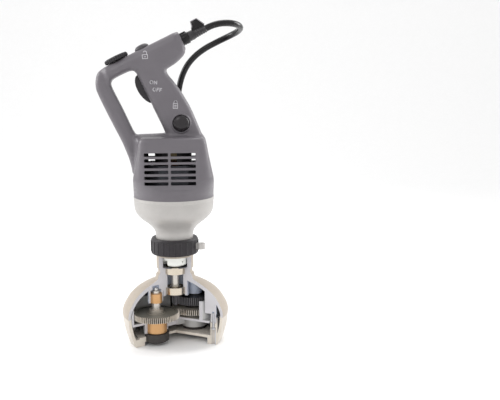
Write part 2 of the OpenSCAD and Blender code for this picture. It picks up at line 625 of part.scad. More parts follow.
module lock_button() color([0.19, 0.18, 0.19]) translate([12.7, 0, motor_z + 114.9]) rotate([90, 0, 0]) {
  translate([0, 0, 13.4]) cylinder(h = 9.6, r = lock_r);
  translate([0, 0, 22.9]) rotate_extrude() polygon([[0, 0], [lock_r, 0], [lock_r - 0.6, 1.6], [10.3, 2.9], [7.4, 3.8], [4, 4.3], [0, 4.5]]);
}
module lock_switch() color([0.12, 0.12, 0.13]) translate([4.7, -9.6, motor_z + 107.2]) cube([16, 15, 12]);

module safety_button() color([0.32, 0.30, 0.32]) translate([-43.9, 0, motor_z + 225.7]) rotate([0, -bar_tilt, 0]) {
  translate([0, 0, -7]) cylinder(h = 9, r = safety_r);
  translate([0, 0, 1.9]) rotate_extrude() polygon([[0, 0], [safety_r, 0], [11, 2.4], [9.6, 4.8], [7, 6.6], [3.8, 7.6], [0, 8]]);
}
module safety_switch() color([0.12, 0.12, 0.13]) translate([-43.9, 0, motor_z + 225.7]) rotate([0, -bar_tilt, 0]) translate([-8, -5, -19]) cube([16, 10, 8]);

module speed_dial() color([0.2, 0.19, 0.2]) translate([-82.2, 0, motor_z + 208.7]) rotate([0, -bar_tilt, 0]) {
  translate([0, 0, 0.9]) rotate_extrude() polygon([[0, 0], [dial_r - 1, 0], [dial_r - 0.4, 0.6], [dial_r - 0.4, 5.4], [dial_r - 2, 6.8], [0, 6.8]]);
  for (a = [0:15:345]) rotate([0, 0, a]) translate([dial_r - 0.9, 0, 1.9]) cylinder(h = 4.1, r = 0.9, $fn = 16);
  translate([0, 0, -10]) cylinder(h = 12, r = 3);
}
module speed_potentiometer() color([0.25, 0.3, 0.28]) translate([-82.2, 0, motor_z + 208.7]) rotate([0, -bar_tilt, 0]) difference() {
  translate([0, 0, -14]) cylinder(h = 9.5, r = 7.4);
  translate([0, 0, -11]) cylinder(h = 8, r = 3 + run);
}

module control_board() color([0.12, 0.35, 0.2]) at_grip(4, 146) {
  translate([-13, 8, -13]) cube([24, 1.6, 28]);
  translate([-9, 2, -8]) cube([10, 6.4, 12]);
  translate([3, 3.5, -10]) cube([6, 4.9, 6]);
  translate([5, 5, 5]) rotate([-90, 0, 0]) cylinder(h = 3.4, r = 3);
}

// ---------- cord ----------

module cord_connector() color([0.13, 0.12, 0.13]) translate([-6, 0, motor_z + 229.7]) rotate([0, 64, 0]) difference() {
  union() {
    translate([0, 0, 2]) cylinder(h = 32.6, r = 9.3);
    translate([0, 0, 34.5]) cylinder(h = 1.6, r1 = 9.3, r2 = 8);
  }
  translate([0, 0, 30]) cylinder(h = 10, r = 5.4);
}
module cord_strain_relief() color([0.1, 0.1, 0.1]) translate([0, 0, motor_z]) {
  // tapered sleeve in five short cones
  translate([-6, 0, 229.7]) rotate([0, 64, 0]) difference() {
    union() {
      translate([0, 0, 30.1]) cylinder(h = 6.1, r = 5.4);
      translate([0, 0, 36.1]) cylinder(h = 29, r1 = 7.4, r2 = 5.6);
    }
    translate([0, 0, 63]) cylinder(h = 5, r = 5);
  }
  // release tab on the sleeve
  translate([0, -3.4, 0]) plate_xz(0, 6.8) polygon([[31.4, 249.6], [29.6, 256], [30.2, 261], [28.4, 268.2], [38, 273], [50.6, 264.4],
    [50, 259]]);
}

// the cord's route, from the strain relief over the back down to the coil
route_a = [[51, 0, 492.4], [60, 0, 496.6], [68, 0.5, 499.4], [76.5, 2.2, 501.2], [86, 6, 502], [95.4, 12.8, 501.8], [103.4, 22.6, 500.6],
  [108.2, 35, 498.6], [109.2, 48.4, 496], [105.8, 61.6, 492.6], [98, 73.4, 488.4], [86.4, 82.8, 483], [71.6, 89.4, 476],
  [55, 93.6, 467], [39, 96.6, 455], [25, 98.8, 438.6], [15, 100.4, 416], [9.6, 101.4, 388], [7.4, 102, 354], [7, 102.2, 316],
  [7, 102.2, 276], [7.2, 102, 236], [7.4, 101.7, 194], [7.8, 101.3, 152], [8, 101, 112], [8.2, 100.8, 80], [8.2, 100.7, 61],
  [6.2, 101.8, 46.8], [0.5, 104.9, 34], [-8.5, 109.7, 23.8], [-18.6, 115.2, 17.7], [-25.9, 119.2, 15.5], [-32.2, 122.7, 15]];
// from the bottom of the coil into the plug
route_b = [[-65.2, 164.5, 5], [-69.5, 180.6, 5], [-73.8, 196.8, 5], [-78.1, 213.1, 5], [-79.5, 229.6, 5], [-74.8, 245.8, 5],
  [-65, 259.2, 5], [-53.2, 266.9, 5], [-42.8, 270.2, 5], [-33.8, 271.1, 5.3], [-28.6, 271.1, 6], [-23.8, 271, 7]];

function catmull(a, b, c, d, t) = 0.5 * ((2 * b) + (c - a) * t + (2 * a - 5 * b + 4 * c - d) * t * t + (3 * b - a - 3 * c + d) * t * t * t);
function at(p, i) = p[max(0, min(len(p) - 1, i))];
function spline(p, k) = concat([for (i = [0:len(p) - 2]) for (j = [0:k - 1]) catmull(at(p, i - 1), p[i], p[i + 1], at(p, i + 2), j / k)], [p[len(p) - 1]]);
function unit(v) = v / norm(v);
function tangent(p, i) = unit(at(p, i + 1) - at(p, i - 1));
function side(p) = [for (i = 0, n = unit(cross(tangent(p, 0), [0, 1, 0])); i < len(p);
  i = i + 1, n = i < len(p) ? let (t = tangent(p, i)) unit(n - t * (n * t)) : n) n];
module tube(p, r, k) {
  n = side(p);
  m = len(p);
  polyhedron(
    points = [for (i = [0:m - 1]) let (t = tangent(p, i), u = n[i], v = cross(t, u)) for (j = [0:k - 1]) p[i] + r * (u * cos(j * 360 / k) + v * sin(j * 360 / k))],
    faces = concat([[for (j = [0:k - 1]) j]], [[for (j = [k - 1:-1:0]) (m - 1) * k + j]],
      [for (i = [0:m - 2]) for (j = [0:k - 1]) each [[i * k + j, (i + 1) * k + j, i * k + (j + 1) % k],
        [i * k + (j + 1) % k, (i + 1) * k + j, (i + 1) * k + (j + 1) % k]]]));
}
module cord_tube() color([0.08, 0.08, 0.08]) {
  tube(spline(route_a, 2), cord_d / 2, 10);
  tube(spline(route_b, 2), cord_d / 2, 10);
}
module cord_coil() color([0.08, 0.08, 0.08]) translate([0, 182, 0]) rotate_extrude()
  polygon([[40, 0.1], [70.5, 0.1], [72.5, 2], [72.5, 18], [70.5, 20], [40, 20], [38, 18], [38, 2]]);
// the plug lies on the floor behind the coil, on the rim of its head
module at_plug() translate([-10.2, 271, 10.46]) rotate([0, 75.7, 0]) children();
module plug_body() color([0.08, 0.08, 0.08]) at_plug() {
  translate([0, 0, -14]) cylinder(h = 22, r1 = 5, r2 = 7.6);
  translate([0, 0, 7.9]) rotate_extrude() polygon([[0, 0], [9, 0], [11, 2], [11, 14], [13, 17], [17.6, 19], [17.6, 27.4],
    [16.6, 28.4], [0, 28.4]]);
}
module plug_pins() color(steel) at_plug() for (y = [-9.5, 9.5]) translate([0, y, 36.3]) {
  cylinder(h = 17, r = 2.4);
  translate([0, 0, 17]) sphere(2.3);
}

dome_housing();
lower_casing();
gear_frame();
bottom_cover();
casing_screws();
input_shaft();
input_coupling();
head_bearing_outer_rings();
head_bearing_inner_rings();
head_bearing_balls();
bearing_circlip();
intermediate_gear();
output_gear_left();
output_gear_right();
spindle_left();
spindle_right();
upper_bushes();
lower_bushes();
shaft_seals();
thrust_ball_left();
thrust_ball_right();
motor_bell();
lock_collar();
collar_lever();
drive_coupling();
motor_shaft();
motor_end_bracket();
motor_bearing_outer_rings();
motor_bearing_inner_rings();
motor_bearing_balls();
cooling_fan();
stator_core();
field_coils();
armature_core();
armature_windings();
commutator();
carbon_brushes();
brush_holders();
commutator_bracket();
motor_screws();
housing_front_half();
housing_rear_half();
housing_screws();
trigger();
trigger_pin();
switch_module();
switch_plunger();
lock_button();
lock_switch();
safety_button();
safety_switch();
speed_dial();
speed_potentiometer();
control_board();
cord_connector();
cord_strain_relief();
cord_tube();
cord_coil();
plug_body();
plug_pins();
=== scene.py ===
import bpy, bmesh, math
import numpy as np
from mathutils import Vector, Matrix
from mathutils.bvhtree import BVHTree


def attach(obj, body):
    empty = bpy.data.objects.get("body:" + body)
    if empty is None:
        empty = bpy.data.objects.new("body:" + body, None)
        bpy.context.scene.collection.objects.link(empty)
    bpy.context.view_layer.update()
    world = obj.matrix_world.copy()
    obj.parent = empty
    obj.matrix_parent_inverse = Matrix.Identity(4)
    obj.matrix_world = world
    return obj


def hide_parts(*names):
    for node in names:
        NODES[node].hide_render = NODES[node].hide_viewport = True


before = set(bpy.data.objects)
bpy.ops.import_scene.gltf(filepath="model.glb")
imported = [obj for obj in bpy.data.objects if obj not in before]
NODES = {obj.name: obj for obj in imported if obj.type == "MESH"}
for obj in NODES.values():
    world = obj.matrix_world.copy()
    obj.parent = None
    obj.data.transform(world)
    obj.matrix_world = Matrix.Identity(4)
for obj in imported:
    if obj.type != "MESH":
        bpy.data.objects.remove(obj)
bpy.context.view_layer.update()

MM = 0.001
SCENE = bpy.context.scene

# ------------------------------------------------------------------ camera
cam_data = bpy.data.cameras.new("camera")
cam = bpy.data.objects.new("camera", cam_data)
SCENE.collection.objects.link(cam)
SCENE.camera = cam
cam_data.sensor_width = 36
cam_data.lens = 52.8
CAM_POS = Vector((0.0, -1.15, 0.41))
CAM_YAW, CAM_PITCH = math.radians(5.99), math.radians(9.03)
cam.location = CAM_POS
look = Vector((math.sin(CAM_YAW) * math.cos(CAM_PITCH), math.cos(CAM_YAW) * math.cos(CAM_PITCH), -math.sin(CAM_PITCH)))
cam.rotation_mode = "QUATERNION"
cam.rotation_quaternion = look.to_track_quat("-Z", "Y")
cam_data.clip_start, cam_data.clip_end = 0.02, 30

# ------------------------------------------------------------------ mesh helpers
def link(ob):
    SCENE.collection.objects.link(ob)
    return ob


def mesh_obj(name, verts, faces, smooth=True):
    me = bpy.data.meshes.new(name)
    me.from_pydata([tuple(map(float, v)) for v in verts], [], [tuple(int(i) for i in f) for f in faces])
    me.update()
    if smooth:
        for p in me.polygons:
            p.use_smooth = True
    return link(bpy.data.objects.new(name, me))


def big_mesh(name, verts, quads):
    """Quads only, set through arrays because there are many."""
    me = bpy.data.meshes.new(name)
    n, m = len(verts), len(quads)
    me.vertices.add(n)
    me.vertices.foreach_set("co", np.asarray(verts, np.float32).ravel())
    me.loops.add(m * 4)
    me.loops.foreach_set("vertex_index", np.asarray(quads, np.int32).ravel())
    me.polygons.add(m)
    me.polygons.foreach_set("loop_start", np.arange(0, m * 4, 4, dtype=np.int32))
    me.polygons.foreach_set("loop_total", np.full(m, 4, np.int32))
    me.polygons.foreach_set("use_smooth", np.ones(m, bool))
    me.update(calc_edges=True)
    me.validate()
    return link(bpy.data.objects.new(name, me))


def apply_mods(ob):
    dg = bpy.context.evaluated_depsgraph_get()
    me = bpy.data.meshes.new_from_object(ob.evaluated_get(dg))
    old = ob.data
    ob.modifiers.clear()
    ob.data = me
    if old.users == 0:
        bpy.data.meshes.remove(old)
    return ob


def sharp(ob, angle=38):
    """Smooth shading with sharp edges past that angle."""
    me = ob.data
    bm = bmesh.new()
    bm.from_mesh(me)
    lim = math.radians(angle)
    for f in bm.faces:
        f.smooth = True
    for e in bm.edges:
        e.smooth = not (len(e.link_faces) == 2 and e.calc_face_angle(0) > lim)
    bm.to_mesh(me)
    bm.free()
    return ob


def bevel(ob, width, segments=2, angle=30):
    m = ob.modifiers.new("bevel", "BEVEL")
    m.width, m.segments, m.limit_method, m.angle_limit = width, segments, "ANGLE", math.radians(angle)
    m.use_clamp_overlap = True
    return sharp(apply_mods(ob), 50)


def lathe(name, profile, n=96, close=True):
    """Revolves a list of (radius, height) in mm round Z; a radius of 0 ends in a point."""
    verts, rings, faces = [], [], []
    for r, z in profile:
        if r < 1e-6:
            rings.append([len(verts)])
            verts.append((0, 0, z * MM))
        else:
            rings.append(list(range(len(verts), len(verts) + n)))
            verts += [(r * MM * math.cos(2 * math.pi * i / n), r * MM * math.sin(2 * math.pi * i / n), z * MM) for i in range(n)]
    pairs = list(zip(rings, rings[1:])) + ([(rings[-1], rings[0])] if close else [])
    for a, b in pairs:
        for i in range(n):
            j = (i + 1) % n
            q = [a[i % len(a)], a[j % len(a)], b[j % len(b)], b[i % len(b)]]
            q = list(dict.fromkeys(q))
            if len(q) > 2:
                faces.append(q)
    return sharp(mesh_obj(name, verts, faces), 35)


def place(ob, m):
    """Bakes a placement into the mesh."""
    ob.data.transform(m)
    ob.data.update()
    return ob


def frame_at(x, y, z, direction, up=(0, 0, 1)):
    """Matrix whose Z runs along direction, at a point in mm."""
    d = Vector(direction).normalized()
    u = Vector(up)
    x_ = u.cross(d)
    if x_.length < 1e-5:
        x_ = Vector((1, 0, 0))
    x_.normalize()
    y_ = d.cross(x_)
    m = Matrix((x_, y_, d)).transposed().to_4x4()
    m.translation = Vector((x, y, z)) * MM
    return m


def extrude_xz(name, outline, y0, y1):
    """A prism of an outline in X and Z, in mm."""
    n = len(outline)
    verts = [(x * MM, y0 * MM, z * MM) for x, z in outline] + [(x * MM, y1 * MM, z * MM) for x, z in outline]
    faces = [tuple(range(n - 1, -1, -1)), tuple(range(n, 2 * n))]
    faces += [(i, (i + 1) % n, (i + 1) % n + n, i + n) for i in range(n)]
    ob = mesh_obj(name, verts, faces, smooth=False)
    fix_normals(ob)
    return ob


def fix_normals(ob):
    bm = bmesh.new()
    bm.from_mesh(ob.data)
    bmesh.ops.recalc_face_normals(bm, faces=bm.faces)
    bm.to_mesh(ob.data)
    bm.free()
    return ob


def join(name, obs):
    """One object from several, with their materials kept apart."""
    bm = bmesh.new()
    mats = []
    for o in obs:
        base = len(mats)
        slots = [s.material for s in o.material_slots] or [None]
        me = o.data.copy()
        me.transform(o.matrix_world)
        tmp = bmesh.new()
        tmp.from_mesh(me)
        for f in tmp.faces:
            f.material_index += base
        tmp.to_mesh(me)
        tmp.free()
        bm.from_mesh(me)
        mats += slots
        bpy.data.meshes.remove(me)
    me = bpy.data.meshes.new(name)
    bm.to_mesh(me)
    bm.free()
    for m in mats:
        me.materials.append(m)
    out = link(bpy.data.objects.new(name, me))
    for o in obs:
        bpy.data.objects.remove(o)
    return out


def chaikin(p, k, w=0.22):
    p = [tuple(q) for q in p]
    for _ in range(k):
        out = []
        for i, a in enumerate(p):
            b = p[(i + 1) % len(p)]
            out += [tuple((1 - w) * u + w * v for u, v in zip(a, b)), tuple(w * u + (1 - w) * v for u, v in zip(a, b))]
        p = out
    return p


def catmull(p, k):
    p = np.asarray(p, float)
    out = []
    for i in range(len(p) - 1):
        a, b, c, d = p[max(i - 1, 0)], p[i], p[i + 1], p[min(i + 2, len(p) - 1)]
        for j in range(k):
            t = j / k
            out.append(0.5 * (2 * b + (c - a) * t + (2 * a - 5 * b + 4 * c - d) * t * t + (3 * b - a - 3 * c + d) * t ** 3))
    out.append(p[-1])
    return np.array(out)


# ------------------------------------------------------------------ mains cord
ROUTE_A = [[51, 0, 492.4], [60, 0, 496.6], [68, 0.5, 499.4], [76.5, 2.2, 501.2], [86, 6, 502], [95.4, 12.8, 501.8], [103.4, 22.6, 500.6],
  [108.2, 35, 498.6], [109.2, 48.4, 496], [105.8, 61.6, 492.6], [98, 73.4, 488.4], [86.4, 82.8, 483], [71.6, 89.4, 476],
  [55, 93.6, 467], [39, 96.6, 455], [25, 98.8, 438.6], [15, 100.4, 416], [9.6, 101.4, 388], [7.4, 102, 354], [7, 102.2, 316],
  [7, 102.2, 276], [7.2, 102, 236], [7.4, 101.7, 194], [7.8, 101.3, 152], [8, 101, 112], [8.2, 100.8, 80], [8.2, 100.7, 61],
  [6.2, 101.8, 46.8], [0.5, 104.9, 34], [-8.5, 109.7, 23.8], [-18.6, 115.2, 17.7], [-25.9, 119.2, 15.5], [-32.2, 122.7, 15]]
ROUTE_B = [[-65.2, 164.5, 5], [-69.5, 180.6, 5], [-73.8, 196.8, 5], [-78.1, 213.1, 5], [-79.5, 229.6, 5], [-74.8, 245.8, 5],
  [-65, 259.2, 5], [-53.2, 266.9, 5], [-42.8, 270.2, 5], [-33.8, 271.1, 5.3], [-28.6, 271.1, 6], [-23.8, 271, 7]]


def coil_points():
    """Two layers, wound inwards on top and outwards below, clockwise seen from above."""
    out = []
    a0, a1 = math.atan2(-59.3, -32.2), math.atan2(-17.5, -65.2)
    total = 5 * 2 * math.pi + ((a0 - a1) % (2 * math.pi))
    n = 330
    climb = 1.4
    leg = (total - climb) / 2
    for i in range(1, n):
        s = total * i / n
        a = a0 - s
        if s < leg:
            r, z = 67.5 - 24.5 * s / leg, 15
        elif s < leg + climb:
            u = (s - leg) / climb
            r, z = 43, 15 - 10 * u * u * (3 - 2 * u)
        else:
            r, z = 43 + 24.5 * (s - leg - climb) / leg, 5
        out.append([r * math.cos(a), 182 + r * math.sin(a), z])
    return out


line = np.vstack([catmull(ROUTE_A, 6), coil_points(), catmull(ROUTE_B, 6)])
cu = bpy.data.curves.new("mains_cord", "CURVE")
cu.dimensions = "3D"
sp = cu.splines.new("POLY")
sp.points.add(len(line) - 1)
for p, q in zip(sp.points, line):
    p.co = (q[0] * MM, q[1] * MM, q[2] * MM, 1)
sp.use_smooth = True
cu.bevel_depth = 0.005
cu.bevel_resolution = 5
cu.use_fill_caps = True
cord = link(bpy.data.objects.new("mains_cord", cu))

# ------------------------------------------------------------------ housing as a distance field
# Lengths in mm here; Z counts from the housing's lower edge.
Z0 = 235.0
HANDLE_OUT = [[-62, 34], [-65, 48], [-68, 60], [-78, 86], [-88, 106], [-99.6, 130], [-110.6, 154], [-115.4, 166], [-116, 178],
  [-113.2, 190], [-105.6, 196.8], [-84, 208], [-50, 224.6], [-16, 241.2], [4, 251], [10, 251], [15, 240], [21, 226.6], [20, 219],
  [8, 206.8], [-4, 199.4], [-9, 196], [-6, 188], [1.6, 179.6], [14.4, 162], [28, 138.6], [36.6, 118], [44, 100],
  [50, 84], [52, 60], [50, 40]]
HANDLE_HOLE = [[-93.4, 172], [-92, 179], [-86, 183.6], [-64, 194.2], [-56, 193.6], [-51, 184], [-32, 144], [-11.2, 100.4],
  [-13, 98.2], [-54, 96], [-59, 98.6], [-76, 137]]
GUARD = [[-140, 20], [-54, 20], [-57, 97], [-65, 112], [-94, 172], [-98, 184], [-110, 212], [-140, 212]]
SCREWS = [[-106, 181], [-23.5, 228], [4, 213], [-12, 136], [36, 99], [-86, 131], [-63, 70]]
SCREW_HALF = [13, 20, 20, 20, 20, 13, 13]
TRIGGER_SLOT = [[-66, 192], [-66, 141], [-24, 141], [-36, 172], [-42, 190]]


def poly_dist(poly, x, z):
    """Signed distance in the plane, negative inside."""
    p = np.asarray(poly, float)
    best = np.full(x.shape, 1e9)
    inside = np.zeros(x.shape, bool)
    for i in range(len(p)):
        a, b = p[i], p[(i + 1) % len(p)]
        d = b - a
        t = np.clip(((x - a[0]) * d[0] + (z - a[1]) * d[1]) / (d @ d), 0, 1)
        best = np.minimum(best, (x - a[0] - t * d[0]) ** 2 + (z - a[1] - t * d[1]) ** 2)
        cond = (a[1] > z) != (b[1] > z)
        if abs(b[1] - a[1]) > 1e-9:
            inside ^= cond & (x < (b[0] - a[0]) * (z - a[1]) / (b[1] - a[1]) + a[0])
    d = np.sqrt(best)
    return np.where(inside, -d, d)


def smin(a, b, k):
    h = np.clip(0.5 + 0.5 * (b - a) / k, 0, 1)
    return b * (1 - h) + a * h - k * h * (1 - h)


def smax(a, b, k):
    return -smin(-a, -b, k)


def lerp_tab(z, tab, col):
    return np.interp(z, [r[0] for r in tab], [r[col] for r in tab])


def ease_tab(z, tab, col):
    """Monotone interpolation with rounded joins."""
    return (lerp_tab(z - 2.5, tab, col) + 2 * lerp_tab(z, tab, col) + lerp_tab(z + 2.5, tab, col)) / 4


#            z    half x  centre x  half y  corner
MOTOR_TAB = [[-9, 62.5, 0, 62.5, 62.5], [5, 62.5, 0, 62.5, 62.5], [30, 62, 0, 56.5, 30], [90, 50.2, -1.2, 50, 11], [110, 45.8, -1.6, 48, 8]]


def motor_dist(x, y, z, inset):
    hx = ease_tab(z, MOTOR_TAB, 1) - inset
    cx = ease_tab(z, MOTOR_TAB, 2)
    hy = ease_tab(z, MOTOR_TAB, 3) - inset
    rc = np.maximum(ease_tab(z, MOTOR_TAB, 4) - inset, 3)
    qx = np.abs(x - cx) - hx + rc
    qy = np.abs(y) - hy + rc
    d = np.sqrt(np.maximum(qx, 0) ** 2 + np.maximum(qy, 0) ** 2) + np.minimum(np.maximum(qx, qy), 0) - rc
    d = d * 0.97
    # flat panels front and back, leaning in towards the top
    panel = (np.abs(y) - (57.4 - inset - 0.115 * (z - 24) + 1.1 * np.maximum(17 - z, 0))) * 0.993
    d = smax(d, panel, 0.9)
    top = z - (94.0 - inset)
    return smax(d, top, 7.0 if inset == 0 else 4.0)


def handle_plane(x, z):
    return poly_dist(PL_OUT, x, z), poly_dist(PL_HOLE, x, z)


PL_OUT = chaikin(HANDLE_OUT, 2)
PL_HOLE = chaikin(HANDLE_HOLE, 2)
PL_GUARD = chaikin(GUARD, 1)


def rounded_plate(d2, y, half, r):
    """A plate of a plane outline with its two edges rounded to r; the outline itself is the widest section."""
    wx = d2 + r
    wy = np.abs(y) - half + r
    return np.minimum(np.maximum(wx, wy), 0) + np.sqrt(np.maximum(wx, 0) ** 2 + np.maximum(wy, 0) ** 2) - r


def handle_dist(x, y, z, inset, plane=None):
    do, dh = plane if plane is not None else handle_plane(x, z)
    d2 = np.maximum(do, -dh)
    g = poly_dist(PL_GUARD, x, z)
    t = np.clip((g + 5) / 10, 0, 1)
    t = t * t * (3 - 2 * t)
    half = 13 + 7 * t
    # the head at the cord's end is fuller
    r = 9.5 + 2.5 * t
    d = rounded_plate(d2 + inset, y, half - inset, np.maximum(r - inset, 2))
    return d


def cyl_dist(x, y, z, origin, direction, r, lo, hi):
    d = np.asarray(direction, float)
    d = d / np.linalg.norm(d)
    px, py, pz = x - origin[0], y - origin[1], z - origin[2]
    h = px * d[0] + py * d[1] + pz * d[2]
    rad = np.sqrt(np.maximum((px - h * d[0]) ** 2 + (py - h * d[1]) ** 2 + (pz - h * d[2]) ** 2, 0))
    return np.maximum(rad - r, np.maximum(lo - h, h - hi))


AX = (math.sin(math.radians(64)), 0, math.cos(math.radians(64)))
TILT = (-math.sin(math.radians(26)), 0, math.cos(math.radians(26)))


def outer_dist(x, y, z, plane=None):
    m = motor_dist(x, y, z, 0)
    h = handle_dist(x, y, z, 0, plane)
    d = smin(m, h, 7.0)
    # thick round collar at the cord's socket
    lip = cyl_dist(x, y, z, (-6, 0, 229.7), AX, 13.2, 14.5, 22.4)
    return smin(d, lip, 5.0)


def vents_dist(x, z, shift=0.0):
    """Negative in the slots; the rear half's slots are shifted."""
    best = np.full(x.shape, 1e9)
    for x0, x1 in ((-43.5 + shift, -7.9 + shift), (-4.1 + shift, 33.3 + shift)):
        for i in range(6):
            zc = 24.1 + i * 8.62 + 2.4
            q = np.maximum(np.abs(x - (x0 + x1) / 2) - (x1 - x0) / 2 + 0.7, 0)
            w = np.maximum(np.abs(z - zc) - 2.4 + 0.7, 0)
            d = np.sqrt(q * q + w * w) - 0.7 + np.minimum(np.maximum(np.abs(x - (x0 + x1) / 2) - (x1 - x0) / 2 + 0.7, np.abs(z - zc) - 2.4 + 0.7), 0)
            best = np.minimum(best, d)
    return best


def half_dist(x, y, z, front, plane=None):
    """The shell half on the side y > 0 of this field; front says which half it is."""
    if plane is None:
        plane = handle_plane(x, z)
    d = outer_dist(x, y, z, plane)
    # raised ring round the lock button, or sunk screws
    if front:
        ring = cyl_dist(x, y, z, (12.7, 0, 114.9), (0, 1, 0), 15.0, 0, 21.8)
        d = smin(d, ring, 1.6)
        # flat step in the ring
        d = np.maximum(d, -cyl_dist(x, y, z, (12.7, 0, 114.9), (0, 1, 0), 12.85, 5, 40))
    # seam groove between the halves
    d = smax(d, -(np.maximum(np.abs(y) - 0.55, -(outer_dist(x, y, z, plane) + 0.7))), 0.3)
    # inside
    inner = np.minimum(motor_dist(x, y, z, 3), handle_dist(x, y, z, 3.2, plane))
    if True:
        posts = np.full(x.shape, 1e9)
        for (sx, sz), sh in zip(SCREWS, SCREW_HALF):
            posts = np.minimum(posts, np.sqrt((x - sx) ** 2 + (z - sz) ** 2) - 4.2)
        inner = np.maximum(inner, -posts)
    d = np.maximum(d, -inner)
    d = np.maximum(d, -np.maximum(vents_dist(x, z, 0.0 if front else 3.3), 20 - y))
    # trigger slot, cord socket, safety button, dial shaft
    slot = poly_dist(TRIGGER_SLOT, x, z)
    d = np.maximum(d, -np.maximum(slot, y - 10.25))
    d = np.maximum(d, -cyl_dist(x, y, z, (-6, 0, 229.7), AX, 9.65, 0, 60))
    d = np.maximum(d, -cyl_dist(x, y, z, (-43.9, 0, 225.7), TILT, 11.95, -9, 40))
    d = np.maximum(d, -cyl_dist(x, y, z, (-82.2, 0, 208.7), TILT, 4.4, -8, 40))
    # flat seat under the dial
    d = np.maximum(d, -cyl_dist(x, y, z, (-82.2, 0, 208.7), TILT, 20.0, 0.0, 40))
    if front:
        pass
    else:
        for (sx, sz), sh in zip(SCREWS, SCREW_HALF):
            rad = np.sqrt((x - sx) ** 2 + (z - sz) ** 2)
            d = np.maximum(d, -np.maximum(rad - 3.5, sh - 2.4 - y))
    return d


def surface_nets(f, lo, hi, step, block):
    """Quads on the zero level of f over a box, from one whole grid; the flat cut at y = 0 comes from f."""
    xs = np.arange(lo[0], hi[0] + step, step)
    ys = np.arange(lo[1], hi[1] + step, step)
    zs = np.arange(lo[2], hi[2] + step, step)
    X, Y, Z = np.meshgrid(xs, ys, zs, indexing="ij")
    V = f(X, Y, Z)
    S = V < 0
    nx, ny, nz = S.shape
    c = np.zeros((nx - 1, ny - 1, nz - 1), int)
    for i in (0, 1):
        for j in (0, 1):
            for k in (0, 1):
                c += S[i:nx - 1 + i, j:ny - 1 + j, k:nz - 1 + k]
    act = (c > 0) & (c < 8)
    idx = np.full(act.shape, -1)
    idx[act] = np.arange(act.sum())
    ci, cj, ck = np.nonzero(act)
    acc = np.zeros((len(ci), 3))
    cnt = np.zeros(len(ci))
    corners = [(i, j, k) for i in (0, 1) for j in (0, 1) for k in (0, 1)]
    for a in corners:
        for ax in range(3):
            if a[ax]:
                continue
            b = list(a)
            b[ax] = 1
            va = V[ci + a[0], cj + a[1], ck + a[2]]
            vb = V[ci + b[0], cj + b[1], ck + b[2]]
            m = (va < 0) != (vb < 0)
            t = np.where(m, va / np.where(m, va - vb, 1), 0)
            for q in range(3):
                acc[:, q] += m * (a[q] + (t if q == ax else 0))
            cnt += m
    pos = acc / cnt[:, None] + np.stack([ci, cj, ck], 1)
    P = np.array([lo[0], lo[1], lo[2]]) + pos * step
    quads = []
    for ax in range(3):
        s0 = [slice(None)] * 3
        s1 = [slice(None)] * 3
        s0[ax], s1[ax] = slice(0, -1), slice(1, None)
        A, B = S[tuple(s0)], S[tuple(s1)]
        flip = A != B
        u, v = [q for q in range(3) if q != ax]
        i = np.nonzero(flip)
        pts = np.stack(i, 1)
        ok = (pts[:, u] > 0) & (pts[:, v] > 0) & (pts[:, u] < act.shape[u]) & (pts[:, v] < act.shape[v])
        pts = pts[ok]
        du, dv = np.eye(3, dtype=int)[u], np.eye(3, dtype=int)[v]
        q4 = np.stack([idx[tuple((pts - du - dv).T)], idx[tuple((pts - dv).T)], idx[tuple(pts.T)], idx[tuple((pts - du).T)]], 1)
        inside_first = A[tuple(pts.T)]
        order = inside_first if ax != 1 else ~inside_first
        q4[~order] = q4[~order][:, ::-1]
        quads.append(q4[(q4 >= 0).all(1)])
    return P, np.vstack(quads)


def project(f, P, steps=3, h=0.05, limit=0.8):
    """Moves points onto the zero level along the gradient."""
    P = P.copy()
    for _ in range(steps):
        v = f(P[:, 0], P[:, 1], P[:, 2])
        g = np.stack([(f(P[:, 0] + h, P[:, 1], P[:, 2]) - f(P[:, 0] - h, P[:, 1], P[:, 2])),
                      (f(P[:, 0], P[:, 1] + h, P[:, 2]) - f(P[:, 0], P[:, 1] - h, P[:, 2])),
                      (f(P[:, 0], P[:, 1], P[:, 2] + h) - f(P[:, 0], P[:, 1], P[:, 2] - h))], 1) / (2 * h)
        n = (g * g).sum(1)
        move = -(v / np.maximum(n, 0.25))[:, None] * g
        l = np.linalg.norm(move, axis=1)
        move *= np.minimum(1, limit / np.maximum(l, 1e-9))[:, None] * 0.8
        P += move
    return P


def housing_half(name, front):
    def f(x, y, z):
        return np.maximum(half_dist(x, y, z, front), -y)
    step = 1.3
    P, Q = surface_nets(lambda x, y, z: np.maximum(plane_cached(x, y, z, front), -y), (-121.5, -1.95, -2.6), (66.5, 66.5, 254.5), step, 0)
    P = project(f, P, 3)
    P[:, 1] = np.maximum(P[:, 1], 0)
    if front:
        P[:, 1] *= -1
        Q = Q[:, ::-1]
    P = P * MM
    P[:, 2] += Z0 * MM
    ob = big_mesh(name, P, Q)
    return ob


def plane_cached(x, y, z, front):
    """The plane outlines are the same in every y layer of a grid."""
    do, dh = handle_plane(x[:, 0, :], z[:, 0, :])
    plane = (np.repeat(do[:, None, :], x.shape[1], 1), np.repeat(dh[:, None, :], x.shape[1], 1))
    return half_dist(x, y, z, front, plane)

# ------------------------------------------------------------------ materials
def lin(c):
    return tuple((v / 255 / 12.92) if v / 255 <= 0.04045 else ((v / 255 + 0.055) / 1.055) ** 2.4 for v in c)


